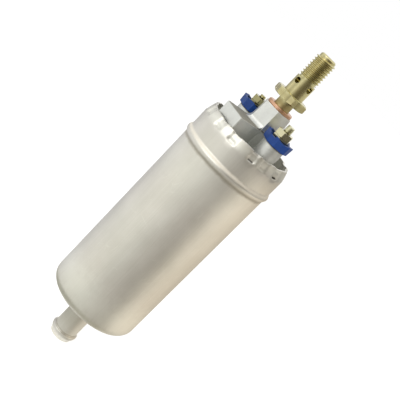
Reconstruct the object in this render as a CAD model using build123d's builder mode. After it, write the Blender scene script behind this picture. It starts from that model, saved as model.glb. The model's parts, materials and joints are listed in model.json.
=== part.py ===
from build123d import *
import os
from math import atan2, cos, degrees, hypot, pi, radians, sin, sqrt, tan

os.makedirs("parts", exist_ok=True)

# In-line electric fuel pump. Sizes are in millimetres and angles in degrees about Z from +X.
# Z runs up the pump's axis, from the open end of the hose nipple at z = 0 to the outlet stud.

# Clearances
running_gap = 0.04  # radial, a shaft in its bushing
rotor_gap = 0.06  # the pump's rotors to each other and to the ring
fit_gap = 0.05  # radial, a piece held in its seat
wall_gap = 0.15  # radial, the inner pieces to the can's wall
face_gap = 0.05  # axial, a turning or sprung piece to the face beside it
slide_gap = 0.1  # each side of a brush in its guide

# Housing can, with the hose nipple drawn from its floor
can_diameter = 58.5
can_wall = 1.2
can_floor = 2.0
can_length = 138.7
can_corner_radius = 6.0
bead_rise = 1.25
bead_height = 5.7
bead_below_rim = 19.4
rim_bend_height = 6.5
rim_bend_inward = 1.8
stake_count = 14
stake_width = 5.0
stake_depth = 1.3
stake_height = 5.5
stake_shoulder = 0.7
stake_first_angle = -102.5
nipple_length = 29.0
nipple_diameter = 15.2
nipple_bore = 11.0
nipple_root_radius = 1.2
barb_diameter = 17.4
barb_height = 5.8
barb_nose_height = 1.4
nipple_lip = 0.4

# Outlet cap
cap_plug_height = 10.0
cap_flange_below_bend = 0.7
cap_plug_wall = 2.9
cap_cavity_depth = 4.5
tower_across_flats = 17.0
tower_top_above_flange = 28.25
tower_draft = 3.0
tower_vertex_angle = -85.0
tower_foot_radius = 3.0
tower_foot_steps = 3
outlet_bore = 7.0
boss_angle = -133.0
boss_edge = 3.5  # from its outer face to the plug's edge
boss_width = 17.0
boss_shift = 0.4  # sideways, away from the front terminal
boss_height = 14.5
boss_corner_radius = 1.0
terminal_angle = -52.5
terminal_edge = 8.8  # from the stud's centre to the plug's edge
post_diameter = 13.7
post_height = 14.7
casting_edge = 0.5

# O-rings
o_ring_section = 2.0
o_ring_groove_width = 2.3
cap_o_ring_above_cavity = 1.0
terminal_ring_section = 1.0
terminal_ring_pocket_depth = 1.4

# Outlet stud, which holds the check valve
washer_outer = 16.4
washer_inner = 10.4
washer_thickness = 1.85
stud_root_diameter = 10.0
stud_root_depth = 10.75
stud_neck = 4.7
stud_hex_across_flats = 19.0
stud_hex_height = 4.4
stud_hex_vertex_angle = -75.5
hex_bevel = 1.2
barrel_diameter = 12.6
barrel_height = 10.3
thread_diameter = 12.0
thread_length = 14.5
tip_diameter = 10.2
tip_length = 2.7
tip_chamfer = 0.8
cross_hole_diameter = 3.7
cross_hole_below_thread = 2.5
cross_hole_angle = -40.0
valve_bore = 6.6
valve_bore_above_hex = -1.7
valve_passage_bore = 4.6
valve_passage_above_holes = 4.5
valve_seat_height = 3.5
valve_seat_inset = 0.5
valve_seat_hole = 3.8
check_ball_diameter = 5.2
check_spring_coil_diameter = 5.0
check_spring_wire = 0.5
check_spring_turns = 6

# Terminals: the positive stud is a size larger than the negative one
positive_thread_diameter = 5.0
positive_nut_flats = 9.0
positive_nut_height = 3.5
positive_free_end = 4.0
negative_thread_diameter = 4.0
negative_nut_flats = 8.0
negative_nut_height = 3.5
negative_free_end = 1.9
nut_gap = 0.1
nut_vertex_angle = -91.0
nut_bevel = 0.5
terminal_washer_height = 0.8
terminal_washer_margin = 0.6
stud_head_height = 1.2
stud_head_margin = 1.5
sleeve_wall = 1.25
sleeve_flange_margin = 0.8
sleeve_flange_height = 2.0
insulator_washer_gap = 0.8  # each side of the larger washer, at the cup's floor
insulator_height = 5.5
insulator_flare = 4.0
insulator_floor = 1.6
insulator_wall = 1.6
insulator_corner = 3.5
insulator_face_angle = -65.0
insulator_notch_width = 4.2
insulator_notch_turn = -57.0  # from the first face
insulator_notch_floor = 2.9
insulator_scoop_radius = 9.0
insulator_scoop_depth = 0.9

# Inlet strainer
strainer_length = 15.0
strainer_wall = 0.4
strainer_wall_gap = 0.3
strainer_flange_radius = 9.0
strainer_slots = 8
strainer_slot_width = 2.2
strainer_slot_length = 10.0

# Pump element
inlet_plate_height = 9.0
inlet_foot_wall = 2.5
inlet_chamber_depth = 3.5
inlet_foot_margin = 0.5
inlet_ring_above_floor = 5.9
pump_ring_height = 10.0
outlet_plate_height = 7.0
outlet_boss_radius = 7.5
outlet_boss_height = 3.5
rotor_teeth = 5
eccentricity = 1.4
lobe_circle_radius = 11.8
lobe_radius = 4.0
outer_rotor_rim = 3.4
port_radius = 9.0
port_width = 2.6
port_arc = 100.0
pump_screw_diameter = 4.0
pump_screw_edge = 6.9  # from a screw's centre to the plate's edge
pump_screw_count = 4
pump_screw_head_diameter = 7.0
pump_screw_head_height = 3.0
pump_screw_reach = 5.0

# Pressure relief valve, in a bore through the ring into the inlet plate
relief_wall = 1.48  # between its bore and the round bore of the ring
relief_angle = -90.0
relief_bore = 6.6
relief_seat_hole = 3.6
relief_ball_diameter = 6.0
relief_bore_in_plate = 4.0
relief_spring_coil_diameter = 4.8
relief_spring_wire = 0.7
relief_spring_turns = 5

# Shaft and bushings
shaft_diameter = 8.0
shaft_flat_depth = 0.8
shaft_end_room = 0.6
shaft_collar_diameter = 11.0
journal_diameter = 6.0
bushing_wall = 1.5
bushing_inset = 0.5
upper_bushing_length = 10.5
thrust_washer_height = 0.8
thrust_washer_width = 3.0
shaft_tip = 2.0

# Motor
flux_ring_wall = 2.2
magnet_thickness = 7.0
magnet_arc = 130.0
magnet_overhang = 6.0
magnet_clip_thickness = 0.6
magnet_clip_leg = 4.5
magnet_clip_margin = 6.0
air_gap = 0.7
lower_end_room = 13.0
upper_end_room = 17.0
winding_overhang = 6.5
core_slots = 8
core_slot_mouth = 2.0
core_tooth_width = 3.6
core_slot_depth = 7.3
core_tooth_tip = 1.6
winding_inset = 0.15
commutator_inset = 3.4  # from the core's edge
commutator_segment_height = 3.0
commutator_hub_height = 5.0
commutator_bore_margin = 1.5
commutator_slot_width = 0.8

# Brush holder and brushes
holder_rim_height = 19.5
holder_rim_wall = 2.1
brush_plate_above_ring = 2.5
brush_plate_height = 4.0
holder_boss_radius = 7.0
holder_boss_height = 8.5
holder_window_edge = 11.4  # from the window's middle to the plate's edge
holder_window_width = 8.0
holder_window_arc = 80.0
brush_edge = 3.2  # from the brush's middle to the commutator's edge
brush_depth = 5.0
brush_width = 7.0
brush_length = 12.0
guide_wall = 0.6
guide_length = 15.5
guide_below_plate = 0.5
brush_spring_coil_diameter = 3.8
brush_spring_wire = 0.5
brush_spring_turns = 5
strap_thickness = 0.8
strap_width = 6.6

# Radii and heights of the stack, worked out from the sizes above
root_radius = lobe_circle_radius + 2 * eccentricity - lobe_radius + rotor_gap
outer_rotor_radius = root_radius + outer_rotor_rim
relief_radius = outer_rotor_radius + rotor_gap - eccentricity + relief_wall + relief_bore / 2
can_radius = can_diameter / 2
can_inner_radius = can_radius - can_wall
plate_radius = can_inner_radius - wall_gap
cap_cavity_radius = plate_radius - cap_plug_wall
boss_reach = plate_radius - boss_edge
terminal_radius = plate_radius - terminal_edge
pump_screw_circle_radius = plate_radius - pump_screw_edge
holder_window_radius = plate_radius - holder_window_edge
inner_corner_radius = can_corner_radius - can_wall
inlet_foot_radius = plate_radius - inner_corner_radius - inlet_foot_margin
inlet_chamber_radius = inlet_foot_radius - inlet_foot_wall
flux_inner_radius = plate_radius - flux_ring_wall
magnet_outer_radius = flux_inner_radius - fit_gap
magnet_inner_radius = magnet_outer_radius - magnet_thickness
core_radius = magnet_inner_radius - air_gap
commutator_radius = core_radius - commutator_inset
brush_radius = commutator_radius - brush_edge
can_base_z = nipple_length
can_inside_z = can_base_z + can_floor
rim_top_z = can_base_z + can_length
bead_z = rim_top_z - bead_below_rim
rim_bend_z = rim_top_z - rim_bend_height
cap_flange_z = rim_bend_z - cap_flange_below_bend
cap_bottom_z = cap_flange_z - cap_plug_height
cap_ceiling_z = cap_bottom_z + cap_cavity_depth
tower_top_z = cap_flange_z + tower_top_above_flange
post_top_z = cap_flange_z + post_height
pump_ring_z = can_inside_z + inlet_plate_height
outlet_plate_z = pump_ring_z + pump_ring_height
outlet_plate_top_z = outlet_plate_z + outlet_plate_height
outlet_boss_z = outlet_plate_top_z + outlet_boss_height
flux_ring_top_z = cap_bottom_z - holder_rim_height
core_z = outlet_plate_top_z + lower_end_room
core_top_z = flux_ring_top_z - upper_end_room
brush_plate_z = flux_ring_top_z + brush_plate_above_ring
brush_plate_top_z = brush_plate_z + brush_plate_height
commutator_face_z = flux_ring_top_z
strap_top_z = cap_ceiling_z - sleeve_flange_height
strap_z = strap_top_z - strap_thickness
stud_hex_z = tower_top_z + washer_thickness + stud_neck
barrel_z = stud_hex_z + stud_hex_height
thread_z = barrel_z + barrel_height
cross_hole_z = thread_z - cross_hole_below_thread

# Terminals: name, angle, thread diameter, nut across flats, nut height, free end above the nuts
terminal_kinds = (
    (
        "positive",
        terminal_angle,
        positive_thread_diameter,
        positive_nut_flats,
        positive_nut_height,
        positive_free_end,
    ),
    (
        "negative",
        terminal_angle + 180,
        negative_thread_diameter,
        negative_nut_flats,
        negative_nut_height,
        negative_free_end,
    ),
)


def hex_blank(across_flats, height, bottom_z, vertex_angle, bevel, bore=0.0, axis_xy=(0.0, 0.0)):
    # A hexagon whose corners are turned off by 30 degrees at both ends, as on a nut.
    corner_radius = across_flats / sqrt(3)
    bevel_drop = bevel * tan(radians(30))
    base = Plane(origin=(axis_xy[0], axis_xy[1], bottom_z))
    with BuildPart(base) as blank:
        with BuildSketch(base):
            RegularPolygon(corner_radius, 6, rotation=vertex_angle)
        extrude(amount=height)
        with BuildSketch(Plane(origin=base.origin, x_dir=(1, 0, 0), z_dir=(0, -1, 0))):
            with BuildLine():
                Polyline(
                    (0, 0),
                    (corner_radius - bevel, 0),
                    (corner_radius, bevel_drop),
                    (corner_radius, height - bevel_drop),
                    (corner_radius - bevel, height),
                    (0, height),
                    close=True,
                )
            make_face()
        revolve(axis=Axis((axis_xy[0], axis_xy[1], bottom_z), (0, 0, 1)), mode=Mode.INTERSECT)
        if bore:
            with BuildSketch(base):
                Circle(bore / 2)
            extrude(amount=height, mode=Mode.SUBTRACT)
    return blank.part


def coil(coil_diameter, wire, bottom_z, top_z, turns, axis_xy=(0.0, 0.0)):
    # A compression spring that stands between two faces.
    height = top_z - bottom_z - wire
    with BuildPart() as spring:
        with BuildLine():
            path = Helix(height / turns, height, coil_diameter / 2, center=(*axis_xy, bottom_z + wire / 2))
        with BuildSketch(Plane(origin=path @ 0, z_dir=path % 0)):
            Circle(wire / 2)
        sweep(path=path)
    return spring.part


def on_circle(radius, angle):
    return (radius * cos(radians(angle)), radius * sin(radians(angle)))


def ball_rise(ball_diameter, hole_diameter):
    # How far a ball's centre stands off the edge of the round hole that it sits on.
    return sqrt((ball_diameter / 2) ** 2 - (hole_diameter / 2) ** 2)


def coil_rise(ball_diameter, coil_diameter, wire):
    # How far the end of a spring stands off the centre of the ball that it presses on.
    reach = (ball_diameter + wire) / 2 + face_gap
    return sqrt(reach**2 - (coil_diameter / 2) ** 2) - wire / 2


# Housing can: nipple with its barb, floor, wall with a rolled bead, and the bent rim
nipple_radius = nipple_diameter / 2
barb_radius = barb_diameter / 2
bead_top_z = bead_z + bead_height / 2
bead_bottom_z = bead_z - bead_height / 2
corner_start = can_radius - can_corner_radius
corner_top_z = can_base_z + can_corner_radius
rim_radius = can_radius - rim_bend_inward
with BuildPart() as housing_can:
    with BuildSketch(Plane.XZ):
        with BuildLine():
            Polyline(
                (nipple_bore / 2, can_inside_z),
                (nipple_bore / 2, 0),
                (nipple_radius - 2 * nipple_lip, 0),
                (nipple_radius - nipple_lip, nipple_lip),
                (nipple_radius - nipple_lip, barb_nose_height),
            )
            ThreePointArc(
                (nipple_radius - nipple_lip, barb_nose_height),
                (barb_radius, (barb_height + barb_nose_height) / 2 + nipple_lip),
                (barb_radius - nipple_lip, barb_height - nipple_lip / 2),
            )
            Polyline(
                (barb_radius - nipple_lip, barb_height - nipple_lip / 2),
                (nipple_radius, barb_height),
                (nipple_radius, can_base_z - nipple_root_radius),
            )
            TangentArc(
                (nipple_radius, can_base_z - nipple_root_radius),
                (nipple_radius + nipple_root_radius, can_base_z),
                tangent=(0, 1),
            )
            Line((nipple_radius + nipple_root_radius, can_base_z), (corner_start, can_base_z))
            TangentArc((corner_start, can_base_z), (can_radius, corner_top_z), tangent=(1, 0))
            Line((can_radius, corner_top_z), (can_radius, bead_bottom_z))
            ThreePointArc(
                (can_radius, bead_bottom_z), (can_radius + bead_rise, bead_z), (can_radius, bead_top_z)
            )
            Line((can_radius, bead_top_z), (can_radius, rim_bend_z))
            TangentArc((can_radius, rim_bend_z), (rim_radius, rim_top_z), tangent=(0, 1))
            Line((rim_radius, rim_top_z), (rim_radius - can_wall, rim_top_z))
            TangentArc((can_inner_radius, rim_bend_z), (rim_radius - can_wall, rim_top_z), tangent=(0, 1))
            Line((can_inner_radius, rim_bend_z), (can_inner_radius, bead_top_z))
            ThreePointArc(
                (can_inner_radius, bead_top_z),
                (can_inner_radius + bead_rise, bead_z),
                (can_inner_radius, bead_bottom_z),
            )
            Line((can_inner_radius, bead_bottom_z), (can_inner_radius, can_inside_z + inner_corner_radius))
            TangentArc(
                (can_inner_radius - inner_corner_radius, can_inside_z),
                (can_inner_radius, can_inside_z + inner_corner_radius),
                tangent=(1, 0),
            )
            Line((can_inner_radius - inner_corner_radius, can_inside_z), (nipple_bore / 2, can_inside_z))
        make_face()
    revolve(axis=Axis.Z)
    # Stakes: the punch pushes the wall in over the cap's flange and leaves a pocket outside
    lug_inner_radius = can_inner_radius - stake_depth
    with BuildSketch(Plane.XY.offset(cap_flange_z + face_gap)):
        with PolarLocations(lug_inner_radius + can_wall / 2, stake_count, start_angle=stake_first_angle):
            Rectangle(can_wall, stake_width + 2 * can_wall)
    extrude(amount=stake_height)
    with BuildSketch(Plane.XY.offset(cap_flange_z + stake_shoulder + face_gap)):
        with PolarLocations(lug_inner_radius + 2 * can_wall, stake_count, start_angle=stake_first_angle):
            Rectangle(2 * can_wall, stake_width)
    extrude(amount=rim_top_z - cap_flange_z, mode=Mode.SUBTRACT)
housing_can.part.label = "housing_can"
export_step(housing_can.part, "parts/housing_can.step")

# Outlet cap: plug in the can's mouth, six-sided tower, block boss and two terminal posts
tower_height = tower_top_z - cap_flange_z
boss_top_z = cap_flange_z + boss_height
tower_base_flats = tower_across_flats + 2 * tower_height * tan(radians(tower_draft))
tower_boss_flats = tower_base_flats - 2 * boss_height * tan(radians(tower_draft))
cap_groove_z = cap_ceiling_z + cap_o_ring_above_cavity
groove_radius = plate_radius - o_ring_section + fit_gap
boss_middle = on_circle(boss_reach / 2, boss_angle)
boss_side = on_circle(boss_shift, boss_angle - 90)
boss_centre = (boss_middle[0] + boss_side[0], boss_middle[1] + boss_side[1])

# The tower's foot: a hollow curve in flat steps that leads from its sides out over the block
foot_turns = [radians(90 * step / tower_foot_steps) for step in range(tower_foot_steps + 1)]
foot_heights = [tower_foot_radius * (1 - cos(turn)) for turn in foot_turns]
foot_flats = [
    tower_boss_flats / 2 - height * tan(radians(tower_draft)) + tower_foot_radius * (1 - sin(turn))
    for height, turn in zip(foot_heights, foot_turns)
]
with BuildPart() as tower_foot:
    for step in range(tower_foot_steps):
        rise = foot_heights[step + 1] - foot_heights[step]
        slope = degrees(atan2(foot_flats[step] - foot_flats[step + 1], rise))
        with BuildSketch(Plane.XY.offset(boss_top_z + foot_heights[step])):
            RegularPolygon(foot_flats[step], 6, major_radius=False, rotation=tower_vertex_angle)
        extrude(amount=rise, taper=slope)
    with BuildSketch(Plane.XY.offset(boss_top_z)):
        with Locations(boss_centre):
            Rectangle(boss_reach, boss_width - 2 * casting_edge, rotation=boss_angle)
    extrude(amount=tower_foot_radius, mode=Mode.INTERSECT)

with BuildPart() as outlet_cap:
    with BuildSketch(Plane.XY.offset(cap_bottom_z)):
        Circle(plate_radius)
    extrude(amount=cap_plug_height)
    with BuildSketch(Plane.XY.offset(cap_flange_z)):
        with Locations(boss_centre):
            RectangleRounded(boss_reach, boss_width, boss_corner_radius, rotation=boss_angle)
    extrude(amount=boss_height)
    chamfer(outlet_cap.faces().sort_by(Axis.Z)[-1].edges(), casting_edge)
    with BuildSketch(Plane.XY.offset(cap_flange_z)):
        with PolarLocations(terminal_radius, 2, start_angle=terminal_angle):
            Circle(post_diameter / 2)
    extrude(amount=post_height)
    chamfer(outlet_cap.faces().sort_by(Axis.Z)[-2:].edges(), casting_edge)
    with BuildSketch(Plane.XY.offset(cap_flange_z)):
        RegularPolygon(tower_base_flats / 2, 6, major_radius=False, rotation=tower_vertex_angle)
    extrude(amount=tower_height, taper=tower_draft)
    add(tower_foot.part)
    with BuildSketch(Plane.XY.offset(cap_bottom_z)):
        Circle(cap_cavity_radius)
    extrude(amount=cap_cavity_depth, mode=Mode.SUBTRACT)
    with BuildSketch(Plane.XY.offset(cap_groove_z)):
        Circle(plate_radius + wall_gap)
        Circle(groove_radius, mode=Mode.SUBTRACT)
    extrude(amount=o_ring_groove_width, mode=Mode.SUBTRACT)
    with BuildSketch(Plane.XY.offset(cap_bottom_z)):
        Circle(outlet_bore / 2)
    extrude(amount=tower_top_z - cap_bottom_z, mode=Mode.SUBTRACT)
    with BuildSketch(Plane.XY.offset(tower_top_z - stud_root_depth)):
        Circle(stud_root_diameter / 2 + fit_gap)
    extrude(amount=stud_root_depth, mode=Mode.SUBTRACT)
    for kind, angle, thread, flats, nut_height, free_end in terminal_kinds:
        sleeve_radius = thread / 2 + fit_gap + sleeve_wall
        with BuildSketch(Plane.XY.offset(cap_ceiling_z)):
            with Locations(on_circle(terminal_radius, angle)):
                Circle(sleeve_radius + fit_gap)
        extrude(amount=post_top_z - cap_ceiling_z, mode=Mode.SUBTRACT)
        with BuildSketch(Plane.XY.offset(cap_ceiling_z)):
            with Locations(on_circle(terminal_radius, angle)):
                Circle(sleeve_radius + terminal_ring_section + 2 * fit_gap)
        extrude(amount=terminal_ring_pocket_depth, mode=Mode.SUBTRACT)
outlet_cap.part.label = "outlet_cap"
export_step(outlet_cap.part, "parts/outlet_cap.step")

# O-ring between the cap and the can
o_ring_radius = can_inner_radius - fit_gap - o_ring_section / 2
with BuildPart() as cap_o_ring:
    with BuildSketch(Plane.XZ):
        with Locations((o_ring_radius, cap_groove_z + o_ring_groove_width / 2)):
            Circle(o_ring_section / 2)
    revolve(axis=Axis.Z)
cap_o_ring.part.label = "cap_o_ring"
export_step(cap_o_ring.part, "parts/cap_o_ring.step")

# Copper washer on the tower
with BuildPart() as copper_washer:
    with BuildSketch(Plane.XY.offset(tower_top_z)):
        Circle(washer_outer / 2)
        Circle(washer_inner / 2, mode=Mode.SUBTRACT)
    extrude(amount=washer_thickness)
    chamfer(copper_washer.edges().group_by(SortBy.LENGTH)[-1], washer_thickness / 6)
copper_washer.part.label = "copper_washer"
export_step(copper_washer.part, "parts/copper_washer.step")

# Outlet stud: root in the tower, neck, thin hex, barrel with cross holes, thread and blind tip
stud_root_z = tower_top_z - stud_root_depth
tip_z = thread_z + thread_length
valve_bore_top_z = stud_hex_z + stud_hex_height + valve_bore_above_hex
stud_hex = hex_blank(stud_hex_across_flats, stud_hex_height, stud_hex_z, stud_hex_vertex_angle, hex_bevel)
with BuildPart() as outlet_stud:
    with BuildSketch(Plane.XZ):
        with BuildLine():
            Polyline(
                (0, stud_root_z),
                (stud_root_diameter / 2, stud_root_z),
                (stud_root_diameter / 2, barrel_z),
                (barrel_diameter / 2, barrel_z),
                (barrel_diameter / 2, thread_z),
                (thread_diameter / 2, thread_z),
                (thread_diameter / 2, tip_z),
                (tip_diameter / 2, tip_z),
                (tip_diameter / 2, tip_z + tip_length - tip_chamfer),
                (tip_diameter / 2 - tip_chamfer, tip_z + tip_length),
                (0, tip_z + tip_length),
                close=True,
            )
        make_face()
    revolve(axis=Axis.Z)
    add(stud_hex)
    with BuildSketch(Plane.XY.offset(stud_root_z)):
        Circle(valve_bore / 2)
    extrude(amount=valve_bore_top_z - stud_root_z, mode=Mode.SUBTRACT)
    with BuildSketch(Plane.XY.offset(valve_bore_top_z)):
        Circle(valve_passage_bore / 2)
    extrude(amount=cross_hole_z + valve_passage_above_holes - valve_bore_top_z, mode=Mode.SUBTRACT)
    for quarter in range(2):
        hole_angle = cross_hole_angle + 90 * quarter
        with BuildSketch(Plane(origin=(0, 0, cross_hole_z), z_dir=(*on_circle(1, hole_angle), 0))):
            Circle(cross_hole_diameter / 2)
        extrude(amount=barrel_diameter, both=True, mode=Mode.SUBTRACT)
outlet_stud.part.label = "outlet_stud"
export_step(outlet_stud.part, "parts/outlet_stud.step")

# Check valve: seat ring pressed into the stud's root, ball and spring
valve_seat_z = stud_root_z + valve_seat_inset
valve_seat_top_z = valve_seat_z + valve_seat_height
with BuildPart() as check_valve_seat:
    with BuildSketch(Plane.XY.offset(valve_seat_z)):
        Circle(valve_bore / 2 - fit_gap)
        Circle(valve_seat_hole / 2, mode=Mode.SUBTRACT)
    extrude(amount=valve_seat_height)
check_valve_seat.part.label = "check_valve_seat"
export_step(check_valve_seat.part, "parts/check_valve_seat.step")

check_ball_z = valve_seat_top_z + ball_rise(check_ball_diameter, valve_seat_hole) + face_gap
with BuildPart() as check_valve_ball:
    with Locations((0, 0, check_ball_z)):
        Sphere(check_ball_diameter / 2)
check_valve_ball.part.label = "check_valve_ball"
export_step(check_valve_ball.part, "parts/check_valve_ball.step")

check_spring_z = check_ball_z + coil_rise(check_ball_diameter, check_spring_coil_diameter, check_spring_wire)
check_spring_top_z = valve_bore_top_z - face_gap
check_coil = coil(
    check_spring_coil_diameter, check_spring_wire, check_spring_z, check_spring_top_z, check_spring_turns
)
with BuildPart() as check_valve_spring:
    add(check_coil)
check_valve_spring.part.label = "check_valve_spring"
export_step(check_valve_spring.part, "parts/check_valve_spring.step")

# Terminals: blue insulator cup, washer, two nuts, stud, sleeve and O-ring on each post
insulator_slope = tan(radians(insulator_flare))
largest_washer = max(positive_nut_flats, negative_nut_flats) + 2 * terminal_washer_margin
insulator_inner_side = largest_washer + 2 * insulator_washer_gap
insulator_bottom_side = insulator_inner_side + 2 * insulator_wall - 2 * insulator_floor * insulator_slope
insulator_top_side = insulator_bottom_side + 2 * insulator_height * insulator_slope
for kind, angle, thread, flats, nut_height, free_end in terminal_kinds:
    centre = on_circle(terminal_radius, angle)
    sleeve_radius = thread / 2 + fit_gap + sleeve_wall
    washer_z = post_top_z + insulator_floor
    nut_z = washer_z + terminal_washer_height
    stud_top_z = nut_z + 2 * nut_height + nut_gap + free_end
    face_turn = insulator_face_angle + (angle - terminal_angle)
    scoop_z = post_top_z + insulator_height + insulator_scoop_radius - insulator_scoop_depth
    notch_angle = face_turn + insulator_notch_turn

    with BuildPart() as insulator:
        with BuildSketch(Plane(origin=(*centre, post_top_z))):
            Rectangle(insulator_bottom_side, insulator_bottom_side, rotation=face_turn)
            chamfer(vertices(), insulator_corner)
        extrude(amount=insulator_height, taper=-insulator_flare)
        with BuildSketch(Plane(origin=(*centre, post_top_z + insulator_floor))):
            Rectangle(insulator_inner_side, insulator_inner_side, rotation=face_turn)
            chamfer(vertices(), insulator_corner - insulator_wall * tan(radians(22.5)))
        extrude(amount=insulator_height, taper=-insulator_flare, mode=Mode.SUBTRACT)
        with BuildSketch(Plane(origin=(*centre, post_top_z))):
            Circle(thread / 2 + fit_gap)
        extrude(amount=insulator_floor, mode=Mode.SUBTRACT)
        # The rim dips between the corners, and it is open on one side for the cable's lug
        for side in range(4):
            side_way = (*on_circle(1, face_turn + 90 * side), 0)
            with BuildSketch(Plane(origin=(*centre, scoop_z), z_dir=side_way)):
                Circle(insulator_scoop_radius)
            extrude(amount=insulator_top_side, mode=Mode.SUBTRACT)
        with BuildSketch(Plane(origin=(*centre, post_top_z + insulator_notch_floor))):
            with PolarLocations(insulator_top_side / 2, 1, start_angle=notch_angle):
                Rectangle(insulator_top_side, insulator_notch_width)
        extrude(amount=insulator_height, mode=Mode.SUBTRACT)
    insulator.part.label = f"insulator_{kind}"
    export_step(insulator.part, f"parts/insulator_{kind}.step")

    with BuildPart() as terminal_washer:
        with BuildSketch(Plane(origin=(*centre, washer_z))):
            Circle(flats / 2 + terminal_washer_margin)
            Circle(thread / 2 + fit_gap, mode=Mode.SUBTRACT)
        extrude(amount=terminal_washer_height)
    terminal_washer.part.label = f"terminal_washer_{kind}"
    export_step(terminal_washer.part, f"parts/terminal_washer_{kind}.step")

    bore = thread + 2 * fit_gap
    lower_nut = hex_blank(flats, nut_height, nut_z, nut_vertex_angle, nut_bevel, bore, centre)
    upper_nut = hex_blank(
        flats, nut_height, nut_z + nut_height + nut_gap, nut_vertex_angle + 4, nut_bevel, bore, centre
    )
    with BuildPart() as terminal_nuts:
        add(lower_nut)
        add(upper_nut)
    terminal_nuts.part.label = f"terminal_nuts_{kind}"
    export_step(terminal_nuts.part, f"parts/terminal_nuts_{kind}.step")

    with BuildPart() as terminal_stud:
        with BuildSketch(Plane(origin=(*centre, strap_z - stud_head_height))):
            Circle(thread / 2 + stud_head_margin)
        extrude(amount=stud_head_height)
        with BuildSketch(Plane(origin=(*centre, strap_z))):
            Circle(thread / 2)
        extrude(amount=stud_top_z - strap_z)
        chamfer(terminal_stud.edges().sort_by(Axis.Z)[-1], thread / 10)
    terminal_stud.part.label = f"terminal_stud_{kind}"
    export_step(terminal_stud.part, f"parts/terminal_stud_{kind}.step")

    with BuildPart() as terminal_sleeve:
        with BuildSketch(Plane(origin=(*centre, strap_top_z))):
            Circle(sleeve_radius + sleeve_flange_margin)
        extrude(amount=sleeve_flange_height)
        with BuildSketch(Plane(origin=(*centre, cap_ceiling_z))):
            Circle(sleeve_radius)
        extrude(amount=post_top_z - cap_ceiling_z)
        with BuildSketch(Plane(origin=(*centre, strap_top_z))):
            Circle(thread / 2 + fit_gap)
        extrude(amount=post_top_z - strap_top_z, mode=Mode.SUBTRACT)
    terminal_sleeve.part.label = f"terminal_sleeve_{kind}"
    export_step(terminal_sleeve.part, f"parts/terminal_sleeve_{kind}.step")

    ring_radius = sleeve_radius + fit_gap + terminal_ring_section / 2
    ring_plane = Plane(origin=(*centre, cap_ceiling_z + terminal_ring_pocket_depth / 2))
    with BuildPart(ring_plane) as terminal_seal:
        Torus(ring_radius, terminal_ring_section / 2)
    terminal_seal.part.label = f"terminal_seal_{kind}"
    export_step(terminal_seal.part, f"parts/terminal_seal_{kind}.step")

    # Brass strap that joins the stud's head to the brush spring
    strap_middle = on_circle((terminal_radius + brush_radius) / 2, angle)
    with BuildPart() as brush_strap:
        with BuildSketch(Plane(origin=(*strap_middle, strap_z))):
            SlotCenterToCenter(terminal_radius - brush_radius, strap_width, rotation=angle)
        extrude(amount=strap_thickness)
        with BuildSketch(Plane(origin=(*centre, strap_z))):
            Circle(thread / 2 + fit_gap)
        extrude(amount=strap_thickness, mode=Mode.SUBTRACT)
    brush_strap.part.label = f"brush_strap_{kind}"
    export_step(brush_strap.part, f"parts/brush_strap_{kind}.step")

    # Carbon brush and the spring that holds it on the commutator
    brush_centre = on_circle(brush_radius, angle)
    brush_z = commutator_face_z + 2 * face_gap
    with BuildPart() as brush:
        with BuildSketch(Plane(origin=(*brush_centre, brush_z))):
            Rectangle(brush_depth, brush_width, rotation=angle)
        extrude(amount=brush_length)
    brush.part.label = f"brush_{kind}"
    export_step(brush.part, f"parts/brush_{kind}.step")

    brush_coil = coil(
        brush_spring_coil_diameter,
        brush_spring_wire,
        brush_z + brush_length,
        strap_z,
        brush_spring_turns,
        brush_centre,
    )
    with BuildPart() as brush_spring:
        add(brush_coil)
    brush_spring.part.label = f"brush_spring_{kind}"
    export_step(brush_spring.part, f"parts/brush_spring_{kind}.step")

# Inlet strainer: a thimble in the nipple's bore, open towards the pump
strainer_radius = nipple_bore / 2 - strainer_wall_gap
strainer_bottom_z = can_inside_z - strainer_length
with BuildPart() as inlet_strainer:
    with BuildSketch(Plane.XY.offset(strainer_bottom_z)):
        Circle(strainer_radius)
    extrude(amount=strainer_length)
    fillet(inlet_strainer.edges().sort_by(Axis.Z)[0], 2 * strainer_wall)
    with BuildSketch(Plane.XY.offset(can_inside_z)):
        Circle(strainer_flange_radius)
    extrude(amount=strainer_wall)
    with BuildSketch(Plane.XY.offset(strainer_bottom_z + strainer_wall)):
        Circle(strainer_radius - strainer_wall)
    extrude(amount=strainer_length, mode=Mode.SUBTRACT)
    slot_z = strainer_bottom_z + strainer_length / 2
    for slot in range(strainer_slots // 2):
        slot_angle = 360 / strainer_slots * slot
        slot_plane = Plane(origin=(0, 0, slot_z), x_dir=(0, 0, 1), z_dir=(*on_circle(1, slot_angle), 0))
        with BuildSketch(slot_plane):
            SlotOverall(strainer_slot_length, strainer_slot_width)
        extrude(amount=nipple_bore, both=True, mode=Mode.SUBTRACT)
inlet_strainer.part.label = "inlet_strainer"
export_step(inlet_strainer.part, "parts/inlet_strainer.step")

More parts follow.
